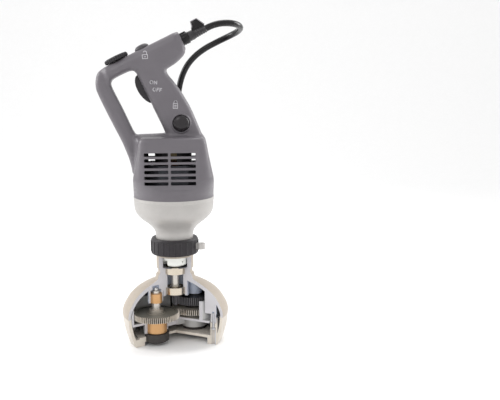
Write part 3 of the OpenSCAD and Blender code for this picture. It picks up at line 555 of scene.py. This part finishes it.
def finish_of(name, rgb, rough=0.5, metal=0.0, grain=1400, bump=0.06, var=0.08, wear=0.0, coat=0.0, spec=0.5, soft=0.0, brushed=None, stain=None, lines=None, turned=False):
    """A finish from noise only. rgb is the look's colour in 0 to 255; grain is the fine relief's frequency per metre."""
    m = bpy.data.materials.new(name)
    m.use_nodes = True
    nt = m.node_tree
    nt.nodes.clear()
    N, Lk = nt.nodes.new, nt.links.new
    out, b, tc = N("ShaderNodeOutputMaterial"), N("ShaderNodeBsdfPrincipled"), N("ShaderNodeTexCoord")
    Lk(b.outputs[0], out.inputs[0])
    m.diffuse_color = (*lin(rgb), 1)
    b.inputs["Metallic"].default_value = metal
    b.inputs["Specular IOR Level"].default_value = spec
    b.inputs["Coat Weight"].default_value = coat
    b.inputs["Coat Roughness"].default_value = 0.12

    def noise(scale, detail=2.0, stretch=None):
        n = N("ShaderNodeTexNoise")
        n.inputs["Scale"].default_value = scale
        n.inputs["Detail"].default_value = detail
        src = tc.outputs["Object"]
        if stretch:
            mp = N("ShaderNodeMapping")
            mp.inputs["Scale"].default_value = stretch
            Lk(src, mp.inputs["Vector"])
            src = mp.outputs[0]
        Lk(src, n.inputs["Vector"])
        return n

    def ramp(src, a, c, lo=0.35, hi=0.65):
        r = N("ShaderNodeMapRange")
        r.inputs["From Min"].default_value, r.inputs["From Max"].default_value = lo, hi
        r.inputs["To Min"].default_value, r.inputs["To Max"].default_value = a, c
        Lk(src, r.inputs["Value"])
        return r.outputs[0]

    def mix(fac, a, c):
        x = N("ShaderNodeMix")
        x.data_type = "RGBA"
        for sock, v in ((x.inputs[0], fac), (x.inputs[6], a), (x.inputs[7], c)):
            if isinstance(v, (tuple, list)):
                sock.default_value = (*v, 1) if len(v) == 3 else v
            elif isinstance(v, (int, float)):
                sock.default_value = v
            else:
                Lk(v, sock)
        return x.outputs[2]

    base = lin(rgb)
    # turned metal varies along its axis only
    lathe_marks = (0.03, 0.03, 1) if turned else None
    big, mid = noise(38, 3, lathe_marks), noise(260, 3, lathe_marks)
    c0 = tuple(v * (1 - var) for v in base)
    c1 = tuple(min(1, v * (1 + var)) for v in base)
    col = mix(ramp(big.outputs[0], 0, 1), c0, c1)
    speck = noise(grain * 0.9, 1, lathe_marks)
    col = mix(ramp(speck.outputs[0], 0, 0.12 if turned else 0.35, 0.5, 0.75), col, tuple(min(1, v * 1.12 + 0.004) for v in base))
    if stain:
        col = mix(ramp(noise(70, 4).outputs[0], 0, stain[1], 0.52, 0.72), col, lin(stain[0]))
    rgh = ramp(mid.outputs[0], rough - (0.02 if turned else 0.06), rough + (0.03 if turned else 0.08))
    if wear:
        geo = N("ShaderNodeNewGeometry")
        edge = ramp(geo.outputs["Pointiness"], 0, wear, 0.53, 0.60)
        col = mix(edge, col, tuple(min(1, v * 1.5 + 0.02) for v in base))
    if lines:
        col = lines(N, Lk, tc, mix, col)
    Lk(col, b.inputs["Base Color"])
    Lk(rgh, b.inputs["Roughness"])
    bp = N("ShaderNodeBump")
    bp.inputs["Strength"].default_value = bump
    bp.inputs["Distance"].default_value = 0.0004
    if brushed:
        Lk(noise(grain, 2, brushed).outputs[0], bp.inputs["Height"])
    else:
        Lk(noise(grain, 2).outputs[0], bp.inputs["Height"])
    last = bp
    if soft:
        bv = N("ShaderNodeBevel")
        bv.samples = 4
        bv.inputs["Radius"].default_value = soft
        Lk(bv.outputs[0], bp.inputs["Normal"])
    Lk(last.outputs[0], b.inputs["Normal"])
    return m


M = {
  "housing": finish_of("housing_grey", (103, 99, 104), 0.36, grain=2600, bump=0.04, var=0.035, spec=0.42),
  # painted shade: the housing's inner faces get this dark grey instead of the housing grey of the same plastic
  "housing_in": finish_of("housing_inside_painted_shade", (44, 42, 46), 0.6, grain=1800, bump=0.08),
  "black": finish_of("black_plastic", (42, 39, 42), 0.45, grain=2200, bump=0.06, var=0.10, spec=0.3, wear=0.15),
  "dial": finish_of("dial_plastic", (46, 44, 47), 0.48, grain=2400, bump=0.06, var=0.08, spec=0.3, wear=0.2),
  "safety": finish_of("safety_plastic", (70, 67, 71), 0.40, grain=2400, bump=0.04, var=0.06, spec=0.35),
  "lockb": finish_of("lock_plastic", (36, 32, 35), 0.24, grain=2400, bump=0.0, var=0.02, spec=0.4, turned=True),
  "connector": finish_of("connector_plastic", (17, 15, 17), 0.20, grain=2000, bump=0.01, var=0.06, spec=0.32),
  "sleeve": finish_of("sleeve_rubber", (40, 38, 41), 0.30, grain=1800, bump=0.03, var=0.08, spec=0.5),
  # painted highlight: the raised edge of the cord tab is pale grey, standing for lit edges of the same dark moulding
  "rim": finish_of("tab_edge_painted_highlight", (132, 129, 133), 0.36, grain=1800, bump=0.03, var=0.06, spec=0.5),
  "cord": finish_of("cord_rubber", (17, 16, 18), 0.20, grain=900, bump=0.02, var=0.10, spec=0.32),
  "beige": finish_of("casing_beige", (176, 165, 152), 0.42, grain=1500, bump=0.06, var=0.04, spec=0.3),
  "pale": finish_of("casing_pale", (202, 195, 186), 0.48, grain=1500, bump=0.06, var=0.04, spec=0.3),
  "section": finish_of("cut_face", (196, 194, 197), 0.55, grain=1900, bump=0.06, var=0.03, spec=0.3),
  "section_pale": finish_of("cut_face_pale", (214, 206, 194), 0.55, grain=1900, bump=0.06, var=0.03, spec=0.3),
  # pale blue-grey for the bare inner walls: an aluminium colour, brightened against the shade inside the casing and
  # tinted blue as a painted reflection
  "inside": finish_of("casing_inside_painted_reflection", (196, 203, 217), 0.38, grain=1500, bump=0.06, var=0.04),
  "alu": finish_of("cast_aluminium", (176, 173, 170), 0.40, metal=0.35, grain=1500, bump=0.08, var=0.03, wear=0.15),
  "alu_frame": finish_of("frame_aluminium", (182, 181, 179), 0.46, metal=0.25, grain=1500, bump=0.08, var=0.03, wear=0.15),
  "bearing": finish_of("bearing_steel", (202, 192, 176), 0.22, metal=0.9, grain=300, bump=0.0, var=0.02, turned=True),
  "ball": finish_of("ball_steel", (200, 199, 198), 0.12, metal=0.95, grain=400, bump=0.0, var=0.01, turned=True),
  "gear": finish_of("gear_steel", (192, 184, 173), 0.34, metal=0.65, grain=600, bump=0.0, var=0.02, wear=0.2, turned=True),
  # painted shadow: near-black for the idler gear's tooth roots and its whole top face, where shade falls
  "idler_gap_painted_shadow": finish_of("idler_root_painted_shadow", (22, 21, 22), 0.5, metal=0.2, grain=600, bump=0.0, var=0.03, turned=True),
  # painted shade: dark brown-grey for the tooth flanks and roots of the bright output gears
  "tooth_gap_painted_shade": finish_of("tooth_root_painted_shade", (62, 58, 54), 0.5, metal=0.4, grain=600, bump=0.0, var=0.03, turned=True),
  "gear_dark": finish_of("gear_dark", (92, 90, 93), 0.38, metal=0.45, grain=900, bump=0.0, var=0.04, wear=0.35, turned=True),
  "gear_face": finish_of("gear_face_dark", (128, 125, 116), 0.42, metal=0.3, grain=800, bump=0.0, var=0.03, turned=True),
  "shaft": finish_of("shaft_steel", (200, 195, 188), 0.24, metal=0.72, grain=300, bump=0.0, var=0.02, turned=True),
  "bronze": finish_of("bronze", (206, 160, 110), 0.38, metal=0.55, grain=900, bump=0.0, var=0.03, turned=True),
  "white": finish_of("coupling_white", (232, 233, 227), 0.35, grain=1800, bump=0.02, var=0.02),
  "seal": finish_of("seal_rubber", (50, 46, 43), 0.55, grain=1200, bump=0.08, var=0.10),
  "lamina": finish_of("laminated_steel", (70, 71, 77), 0.45, metal=0.5, grain=2600, bump=0.2, var=0.10, brushed=(0.02, 0.02, 1)),
  "copper": finish_of("copper_wire", (110, 62, 36), 0.42, metal=0.4, grain=1800, bump=0.2, var=0.12),
  "bars": finish_of("copper_bars", (150, 96, 62), 0.3, metal=0.8, grain=900, bump=0.02, var=0.06),
  "carbon": finish_of("carbon", (38, 37, 38), 0.6, grain=1200, bump=0.15),
  "brass": finish_of("brass_sheet", (96, 84, 60), 0.4, metal=0.6, grain=900, bump=0.02),
  "board": finish_of("circuit_board", (36, 92, 58), 0.4, grain=500, bump=0.2),
  "screw": finish_of("screw_steel", (176, 176, 180), 0.3, metal=0.9, grain=1200, bump=0.06, wear=0.3),
  "screw_dark": finish_of("screw_black", (70, 69, 72), 0.4, metal=0.6, grain=1200, bump=0.06, wear=0.3),
  "nickel": finish_of("nickel", (214, 212, 206), 0.16, metal=1.0, grain=600, bump=0.03, var=0.04),
  "mark": finish_of("white_print", (194, 192, 196), 0.5, grain=3000, bump=0.02, var=0.02),
  "circlip": finish_of("spring_steel", (92, 92, 96), 0.35, metal=0.8, grain=1200, bump=0.08),
  "strap": finish_of("tie_strap", (46, 45, 47), 0.5, grain=1800, bump=0.1),
}

CAD_LOOK = {
  "dome_housing": "beige", "lower_casing": "pale", "gear_frame": "alu_frame", "bottom_cover": "pale", "casing_screws": "screw",
  "input_shaft": "shaft", "input_coupling": "white", "head_bearing_outer_rings": "bearing", "head_bearing_inner_rings": "bearing",
  "head_bearing_balls": "ball", "bearing_circlip": "circlip", "intermediate_gear": "gear_dark", "output_gear_left": "gear",
  "output_gear_right": "gear", "spindle_left": "shaft", "spindle_right": "shaft", "upper_bushes": "bronze", "lower_bushes": "bronze",
  "shaft_seals": "seal", "thrust_ball_left": "ball", "thrust_ball_right": "ball", "motor_bell": "alu", "lock_collar": "black",
  "collar_lever": "alu", "drive_coupling": "shaft", "motor_shaft": "shaft", "motor_end_bracket": "alu",
  "motor_bearing_outer_rings": "bearing", "motor_bearing_inner_rings": "bearing", "motor_bearing_balls": "ball",
  "cooling_fan": "black", "stator_core": "lamina", "field_coils": "copper", "armature_core": "lamina", "armature_windings": "copper",
  "commutator": "bars", "carbon_brushes": "carbon", "brush_holders": "brass", "commutator_bracket": "black", "motor_screws": "screw",
  "housing_front_half": "housing", "housing_rear_half": "housing", "housing_screws": "screw_dark", "trigger": "black",
  "trigger_pin": "screw", "switch_module": "black", "switch_plunger": "white", "lock_button": "lockb", "lock_switch": "black",
  "safety_button": "safety", "safety_switch": "black", "speed_dial": "dial", "speed_potentiometer": "black", "control_board": "board",
  "cord_connector": "connector", "cord_strain_relief": "sleeve", "cord_tube": "cord", "cord_coil": "cord", "plug_body": "connector",
  "plug_pins": "nickel"}


def paint(ob, *keys):
    me = ob.data
    me.materials.clear()
    for k in keys:
        me.materials.append(M[k])
    return ob


for n, k in CAD_LOOK.items():
    if n in NODES:
        paint(NODES[n], k)
        sharp_ok = NODES[n].data
        for p in sharp_ok.polygons:
            p.use_smooth = True
        if hasattr(sharp_ok, "set_sharp_from_angle"):
            sharp_ok.set_sharp_from_angle(angle=math.radians(32))

CUT_N = [Vector((-0.5, 0.8660254, 0)), Vector((0.5, 0.8660254, 0))]


def on_cut(c, n, tol=0.00006):
    """A face that lies in one of the two planes of the opening, or in its flat top."""
    if any(abs(c.dot(k)) < tol and abs(n.dot(k)) > 0.98 for k in CUT_N):
        return c.y < 0.0005
    return abs(c.z - 0.140) < tol and abs(n.z) > 0.98


def two_tone(node, other, rule):
    me = NODES[node].data
    me.materials.append(M[other])
    i = len(me.materials) - 1
    for p in me.polygons:
        if rule(p.center, p.normal):
            p.material_index = i


for n, k in (("dome_housing", "section"), ("lower_casing", "section_pale"), ("bottom_cover", "section_pale"), ("gear_frame", "section")):
    two_tone(n, k, on_cut)
DOME_R = [(44, 84.1), (50, 84.7), (54, 84.2), (59, 82.8), (64, 80.4), (70, 77), (76, 73), (81.5, 68), (86.6, 62), (91.2, 55), (95.6, 47), (99, 40),
  (101.6, 35), (104.5, 32), (107.5, 30.8), (112, 28.2), (112.1, 27)]
# inner walls of the dome and of the lower casing take that brightened, blue-tinted colour: painted reflection over
# their own aluminium tone
two_tone("dome_housing", "inside", lambda c, n: not on_cut(c, n) and math.hypot(c.x, c.y) < (float(np.interp(c.z / MM, [q[0] for q in DOME_R], [q[1] for q in DOME_R])) - 2) * MM)
two_tone("lower_casing", "inside", lambda c, n: not on_cut(c, n) and n.dot(Vector((c.x, c.y, 0)).normalized()) < -0.3)
# painted shade: side faces of the output gears between 30 and 34.9 mm radius, the tooth gaps, turn dark
for n, gx, gy in (("output_gear_left", -0.0307439, -0.01775), ("output_gear_right", 0.0307439, 0.01775)):
    two_tone(n, "tooth_gap_painted_shade", lambda c, k: abs(k.z) < 0.5 and 0.030 < math.hypot(c.x - gx, c.y - gy) < 0.0349)
# painted shadow: the idler gear's side faces inside the root circle, and every face pointing up, turn near-black
two_tone("intermediate_gear", "idler_gap_painted_shadow", lambda c, k: (abs(k.z) < 0.5 and math.hypot(c.x - 0.0307439, c.y - 0.01775) < 0.0299) or k.z > 0.9)
two_tone("input_shaft", "gear_dark", lambda c, k: c.z < 0.0758 and abs(k.z) < 0.5)
two_tone("output_gear_left", "gear_face", lambda c, n: n.z > 0.9 and 0.050 < c.z < 0.053 and math.hypot(c.x + 0.0307, c.y + 0.01775) < 0.0342)


def bevel_node(name, width, segments=2, angle=35):
    o = NODES[name]
    m = o.modifiers.new("edges", "BEVEL")
    m.width, m.segments, m.limit_method, m.angle_limit = width, segments, "ANGLE", math.radians(angle)
    m.use_clamp_overlap = True
    m.harden_normals = False


# ------------------------------------------------------------------ housing pieces
def carry(ob, body, nodes, key=None):
    if key:
        paint(ob, *([key] if isinstance(key, str) else key))
    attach(ob, body)
    if nodes:
        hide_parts(*nodes)
    return ob


front = housing_half("housing_front", True)
rear = housing_half("housing_rear", False)
for ob in (front, rear):
    paint(ob, "housing", "housing_in")
    me = ob.data
    P3 = np.zeros(len(me.polygons) * 3)
    me.polygons.foreach_get("center", P3)
    P3 = P3.reshape(-1, 3) / MM
    N3 = np.zeros(len(me.polygons) * 3)
    me.polygons.foreach_get("normal", N3)
    N3 = N3.reshape(-1, 3)
    ay, z = np.abs(P3[:, 1]), P3[:, 2] - Z0
    # painted shade: faces more than 2.2 mm inside the outer surface and clear of the vent slots take the dark inner
    # grey
    inside = (outer_dist(P3[:, 0], ay, z) < -2.2) & (vents_dist(P3[:, 0], z, 0.0 if ob is front else 3.3) > 0.6)
    me.polygons.foreach_set("material_index", inside.astype(np.int32))
carry(front, "machine", ["housing_front_half"])
carry(rear, "machine", ["housing_rear_half"])

# ------------------------------------------------------------------ controls
def fluted(name, profile, count, depth, n=192, close=True):
    """A lathe whose marked rows (third value) are fluted: depth in mm, count flutes round."""
    verts, rings, faces = [], [], []
    for row in profile:
        r, z, f = row if len(row) == 3 else (*row, 0)
        if r < 1e-6:
            rings.append([len(verts)])
            verts.append((0, 0, z * MM))
            continue
        rings.append(list(range(len(verts), len(verts) + n)))
        for i in range(n):
            a = 2 * math.pi * i / n
            k = max(0.0, math.cos(count * a)) ** 0.8
            q = r - f * depth * k
            verts.append((q * MM * math.cos(a), q * MM * math.sin(a), z * MM))
    pairs = list(zip(rings, rings[1:])) + ([(rings[-1], rings[0])] if close else [])
    for a, b in pairs:
        for i in range(n):
            j = (i + 1) % n
            q = list(dict.fromkeys([a[i % len(a)], a[j % len(a)], b[j % len(b)], b[i % len(b)]]))
            if len(q) > 2:
                faces.append(q)
    return sharp(mesh_obj(name, verts, faces), 40)


def block(name, x0, x1, y0, y1, z0, z1, width=0.0, segments=2):
    v = [(x * MM, y * MM, z * MM) for x in (x0, x1) for y in (y0, y1) for z in (z0, z1)]
    f = [(0, 1, 3, 2), (4, 6, 7, 5), (0, 4, 5, 1), (2, 3, 7, 6), (0, 2, 6, 4), (1, 5, 7, 3)]
    ob = mesh_obj(name, v, f, smooth=False)
    fix_normals(ob)
    return bevel(ob, width * MM, segments) if width else ob


AT_DIAL = frame_at(-82.2, 0, Z0 + 208.7, TILT, (0, 1, 0))
AT_SAFETY = frame_at(-43.9, 0, Z0 + 225.7, TILT, (0, 1, 0))
AT_PLUG_IN = frame_at(-6, 0, Z0 + 229.7, AX, (0, 1, 0))

# speed dial: fluted rim, dished top with a finger ridge, shaft below
dial = fluted("dial_wheel", [(0, 0.95), (17.4, 0.95), (18.3, 1.3, 0.5), (18.95, 2.1, 1), (18.95, 5.4, 1), (18.3, 6.5, 0.7), (17.0, 7.35), (15.6, 7.6),
  (14.7, 7.3), (13.9, 6.7), (0, 6.5)], 30, 1.1)
shaft = lathe("dial_shaft", [(0, -9.9), (2.6, -9.9), (3, -9.5), (3, 1.4), (0, 1.4)], 40)
ridge = block("dial_ridge", -13.4, 13.4, -1.7, 1.7, 6.2, 7.65, 0.7, 3)
pip = block("dial_pip", 14.9, 17.2, -0.55, 0.55, 6.9, 7.7, 0.15, 1)
for o in (dial, shaft, ridge):
    paint(o, "dial")
paint(pip, "mark")
dial = join("speed_dial_wheel", [dial, shaft, ridge, pip])
place(dial, AT_DIAL)
carry(dial, "dial", ["speed_dial"])

# safety button: low dome on a cylinder
safety = lathe("safety_dome", [(0, -6.9), (11.2, -6.9), (11.5, -6.6), (11.5, 2.0), (11.42, 2.9), (11.05, 3.9), (10.4, 4.9), (9.5, 5.8), (8.3, 6.65), (6.8, 7.3),
  (5.0, 7.7), (3.0, 7.9), (0, 8.0)], 96)
place(safety, AT_SAFETY)
carry(safety, "safety_key", ["safety_button"], "safety")

# lock button: soft dome, in its ring
lockb = lathe("lock_dome", [(0, 13.5), (12.0, 13.5), (12.42, 13.9), (12.42, 22.2), (12.3, 23.0), (11.9, 23.9), (11.2, 24.8), (10.2, 25.6), (8.8, 26.3), (7.0, 26.85),
  (4.9, 27.2), (2.6, 27.38), (0, 27.42)], 96)
place(lockb, frame_at(12.7, 0, Z0 + 114.9, (0, -1, 0), (0, 0, 1)))
carry(lockb, "lock_key", ["lock_button"], "lockb")

# trigger: rounded paddle
TRIG = [[-50.6, 189.6], [-55.6, 184.6], [-56.4, 178], [-55.2, 171], [-52.8, 165], [-49.7, 159.4], [-45.2, 153.6], [-39.4, 148.4], [-33.2, 145],
  [-31.8, 146.9], [-38.2, 159.9], [-43.2, 171.5], [-45.8, 182], [-46.4, 188]]
trig = extrude_xz("trigger_paddle", [(x, z + Z0) for x, z in chaikin(TRIG, 1, 0.2)], -9.75, 9.75)
trig = bevel(trig, 2.3 * MM, 4, 50)
carry(trig, "trigger_lever", ["trigger"], "black")

# connector and its sleeve
plugin = lathe("connector_body", [(0, 2.1), (8.6, 2.1), (9.25, 2.8), (9.25, 22.6), (8.8, 22.9), (8.8, 23.9), (9.25, 24.2), (9.25, 25.6), (8.8, 25.9), (8.8, 26.9),
  (9.25, 27.2), (9.25, 28.6), (8.8, 28.9), (8.8, 29.9), (9.25, 30.2), (9.25, 34.2), (8.9, 35.1), (8.1, 35.9), (5.5, 36.05), (5.5, 30.1), (0, 30.1)], 96)
key = block("connector_key", -10.4, -8.6, -2.2, 2.2, 23.4, 34.0, 0.5, 2)
for o in (plugin, key):
    paint(o, "connector")
plugin = join("connector_shell", [plugin, key])
place(plugin, AT_PLUG_IN)
carry(plugin, "machine", ["cord_connector"])

sleeve_profile = [(0, 30.3), (5.2, 30.3), (5.35, 30.6), (5.35, 36.2), (7.0, 36.2), (7.5, 36.6), (7.5, 44.0), (7.2, 44.6), (6.7, 44.9)]
for i in range(5):
    z = 46.2 + i * 3.5
    r = 6.85 - 0.22 * i
    sleeve_profile += [(r - 0.35, z - 1.2), (r, z - 0.8), (r, z + 0.8), (r - 0.35, z + 1.2), (r - 0.6, z + 1.35), (r - 0.6, z + 1.9)]
sleeve_profile += [(5.9, 63.4), (5.75, 64.6), (5.3, 65.05), (5.1, 65.0), (5.1, 63.2), (0, 63.2)]
sleeve = lathe("strain_sleeve", sleeve_profile, 80)
paint(sleeve, "sleeve")
place(sleeve, AT_PLUG_IN)
TAB = [[32.6, 249.6], [30.4, 256], [31.0, 260.6], [29.2, 267.4], [37.6, 272.2], [50.2, 263.8], [49.4, 258.6]]
tab = extrude_xz("tab_web", [(x, z + Z0) for x, z in TAB], -2.3, 2.3)
tab = bevel(tab, 0.7 * MM, 2, 30)
edge_line = [(30.6, 257.4), (31.2, 261.2), (29.2, 267.9), (38.0, 272.7), (50.4, 264.2)]
verts, faces = [], []
for i, (x, z) in enumerate(edge_line):
    a = Vector(edge_line[max(i - 1, 0)])
    b = Vector(edge_line[min(i + 1, len(edge_line) - 1)])
    d = (b - a).normalized()
    nrm = Vector((-d.y, d.x)) * 0.75
    for s, y in ((1, -3.35), (1, 3.35), (-1, 3.35), (-1, -3.35)):
        verts.append(((x + s * nrm.x) * MM, y * MM, (z + s * nrm.y + Z0) * MM))
for i in range(len(edge_line) - 1):
    for k in range(4):
        faces.append((4 * i + k, 4 * i + (k + 1) % 4, 4 * i + 4 + (k + 1) % 4, 4 * i + 4 + k))
faces += [(3, 2, 1, 0), tuple(4 * (len(edge_line) - 1) + k for k in range(4))]
rim = fix_normals(mesh_obj("tab_rim", verts, faces, smooth=False))
rim = bevel(rim, 0.35 * MM, 2, 30)
paint(tab, "connector")
# painted highlight: the tab's raised edge gets the pale grey while the web stays dark
paint(rim, "rim")
relief = join("strain_relief", [sleeve, tab, rim])
carry(relief, "machine", ["cord_strain_relief"])

# ------------------------------------------------------------------ marks on the front of the housing
front_tree = BVHTree.FromObject(front, bpy.context.evaluated_depsgraph_get())


def on_front(x, z):
    hit = front_tree.ray_cast(Vector((x * MM, -0.2, (z + Z0) * MM)), Vector((0, 1, 0)))
    return hit[0] if hit[0] is not None else Vector((x * MM, -0.02, (z + Z0) * MM))


def marks(name, strokes, cx, cz, angle, width):
    """Thin raised print that follows the surface. Strokes are lines in mm; angle in degrees, anticlockwise as seen from the front."""
    ca, sa = math.cos(math.radians(angle)), math.sin(math.radians(angle))
    verts, faces = [], []
    for line_ in strokes:
        for a, b in zip(line_, line_[1:]):
            a, b = Vector(a), Vector(b)
            d = (b - a)
            ln = d.length
            if ln < 0.05:
                continue
            d /= ln
            nrm = Vector((-d.y, d.x))
            n = max(1, int(ln / 0.7))
            base = len(verts)
            for i in range(n + 1):
                p = a + d * (ln * i / n)
                if i == 0:
                    p = p - d * width * 0.45
                if i == n:
                    p = p + d * width * 0.45
                for s, lift in ((1, 0.12), (-1, 0.12), (-1, -0.25), (1, -0.25)):
                    q = p + nrm * (s * width / 2)
                    h = on_front(cx + q.x * ca - q.y * sa, cz + q.x * sa + q.y * ca)
                    verts.append((h.x, h.y - lift * MM, h.z))
            for i in range(n):
                for k in range(4):
                    faces.append((base + 4 * i + k, base + 4 * i + 4 + k, base + 4 * i + 4 + (k + 1) % 4, base + 4 * i + (k + 1) % 4))
            faces.append((base, base + 1, base + 2, base + 3))
            faces.append(tuple(base + 4 * n + k for k in (3, 2, 1, 0)))
    ob = fix_normals(mesh_obj(name, verts, faces, smooth=False))
    return carry(ob, "machine", [], "mark")


def ring_line(cx, cy, rx, ry, a0=0, a1=360, n=16):
    return [(cx + rx * math.cos(math.radians(a0 + (a1 - a0) * i / n)), cy + ry * math.sin(math.radians(a0 + (a1 - a0) * i / n))) for i in range(n + 1)]


H = 2.45
marks("print_on", [ring_line(-3.1, 0, 2.2, H), [(1.0, -H), (1.0, H), (4.9, -H), (4.9, H)]], -27.8, 176.6, -4, 0.85)
marks("print_off", [ring_line(-4.6, 0, 2.0, H), [(-0.7, -H), (-0.7, H), (2.0, H)], [(-0.7, 0.1), (1.6, 0.1)], [(3.7, -H), (3.7, H), (6.4, H)], [(3.7, 0.1), (6.0, 0.1)]],
  -22.3, 165.6, -5, 0.85)
body_w = 3.3
closed_lock = [[(-body_w, -6.2), (body_w, -6.2), (body_w, 1.2), (-body_w, 1.2), (-body_w, -6.2)], [(-2.5, 1.2), (-2.5, 2.8)] + ring_line(0, 2.8, 2.5, 3.0, 180, 0, 10) + [(2.5, 1.2)],
  [(-1.5, -3.9), (1.5, -3.9)], [(-1.5, -1.6), (1.5, -1.6)]]
marks("print_lock", closed_lock, 4.6, 143.6, -3, 0.8)
open_lock = [[(-3.9, -5.6), (3.9, -5.6), (3.9, 0.2), (-3.9, 0.2), (-3.9, -5.6)], [(-1.4, -3.0), (1.4, -3.0)],
  [(2.9, 0.2), (2.9, 2.9)] + ring_line(0.4, 2.9, 2.5, 2.7, 0, 150, 9)]
marks("print_unlock", open_lock, -40.0, 217.4, 3, 0.8)

# ------------------------------------------------------------------ plug and strap
AT_PLUG = frame_at(-10.2, 271, 10.46, (math.cos(math.radians(14.3)), 0, math.sin(math.radians(14.3))), (0, 1, 0))
plug = lathe("plug_grip", [(0, -13.8), (5.1, -13.8), (5.6, -13.2), (5.9, -9), (6.6, -2), (7.6, 6.5), (8.6, 8.2), (10.2, 9.4), (11, 11), (11, 12.6), (10.5, 13.0), (10.5, 14.2),
  (11, 14.6), (11, 16.2), (10.5, 16.6), (10.5, 17.8), (11, 18.2), (11, 20.6), (11.8, 22.8), (13.4, 24.8), (16.2, 26.4), (17.3, 27.1), (17.6, 28), (17.6, 34.4),
  (17.2, 35.5), (16.4, 36.2), (7.4, 36.2), (7.0, 35.8), (0, 35.8)], 96)
place(plug, AT_PLUG)
carry(plug, "machine", ["plug_body"], "connector")
pins = []
for x in (-9.5, 9.5):
    p = lathe("pin", [(0, 35.0), (2.4, 35.0), (2.4, 50.5), (2.25, 52.3), (1.7, 54.1), (0.9, 55.1), (0, 55.4)], 40)
    place(p, Matrix.Translation((0, x * MM, 0)))
    pins.append(place(p, AT_PLUG))
pins = join("plug_prongs", [paint(p, "nickel") for p in pins])
carry(pins, "machine", ["plug_pins"])

# strap round the coil
strap_line = [(37.2, 4), (38.4, 0.9), (42, 0.3), (64.6, 0.3), (67.6, 0.9), (68.7, 4), (68.4, 9), (66.8, 15.4), (66, 19.4), (62.6, 20.8), (49.4, 20.8),
  (45.6, 19.6), (42, 13.4), (38, 8.6)]
strap_line = chaikin(strap_line, 1)
verts, faces = [], []
n = len(strap_line)
for i, (r, z) in enumerate(strap_line):
    a, b = Vector(strap_line[i - 1]), Vector(strap_line[(i + 1) % n])
    d = (b - a).normalized()
    nrm = Vector((d.y, -d.x)) * 0.45
    for s, y in ((1, -4), (1, 4), (-1, 4), (-1, -4)):
        verts.append(((r + s * nrm.x) * MM, (182 + y) * MM, max((z + s * nrm.y), 0.02) * MM))
for i in range(n):
    j = (i + 1) % n
    for k in range(4):
        faces.append((4 * i + k, 4 * i + (k + 1) % 4, 4 * j + (k + 1) % 4, 4 * j + k))
strap = fix_normals(mesh_obj("cord_tie", verts, faces))
sharp(strap, 40)
carry(strap, "machine", [], "strap")

# ------------------------------------------------------------------ cord, floor and light
paint(cord, "cord")
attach(cord, "machine")
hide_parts("cord_tube", "cord_coil")

floor_verts, floor_faces = [], []
prof = [(-3.0, 0.0), (1.6, 0.0)] + [(1.6 + 1.2 * math.sin(a), 1.2 - 1.2 * math.cos(a)) for a in np.linspace(0.1, math.pi / 2, 14)] + [(2.8, 4.5)]
for y, z in prof:
    floor_verts += [(-4.5, y, z), (4.5, y, z)]
for i in range(len(prof) - 1):
    floor_faces.append((2 * i, 2 * i + 1, 2 * i + 3, 2 * i + 2))
floor = mesh_obj("studio_floor", floor_verts, floor_faces)
floor.location.z = -0.0004
M["floor"] = finish_of("floor_white", (250, 250, 250), 0.6, grain=120, bump=0.02, var=0.004, spec=0.2)
paint(floor, "floor")


def lamp(name, pos, target, size, power, colour=(1, 1, 1), size_y=None):
    l = bpy.data.lights.new(name, "AREA")
    l.shape = "RECTANGLE"
    l.size, l.size_y = size, size_y or size
    l.energy, l.color = power, colour
    o = link(bpy.data.objects.new(name, l))
    o.location = pos
    o.rotation_mode = "QUATERNION"
    o.rotation_quaternion = (Vector(target) - Vector(pos)).to_track_quat("-Z", "Y")
    return o


lamp("key", (-0.9, -1.6, 1.6), (0, 0, 0.25), 1.0, 7)
lamp("left_strip", (-1.2, 0.25, 0.75), (0, 0, 0.36), 0.4, 8, size_y=0.9)
lamp("right_strip", (1.15, 0.45, 0.75), (0, 0, 0.36), 0.4, 8, size_y=0.9)
lamp("top", (0.1, 0.6, 1.9), (0, 0, 0.3), 0.9, 8)

w = bpy.data.worlds.new("studio")
w.use_nodes = True
SCENE.world = w
w.node_tree.nodes["Background"].inputs[0].default_value = (1, 1, 1, 1)
w.node_tree.nodes["Background"].inputs[1].default_value = 0.92

SCENE.view_settings.view_transform = "Standard"
SCENE.view_settings.look = "None"
SCENE.view_settings.exposure = 0
SCENE.view_settings.gamma = 1
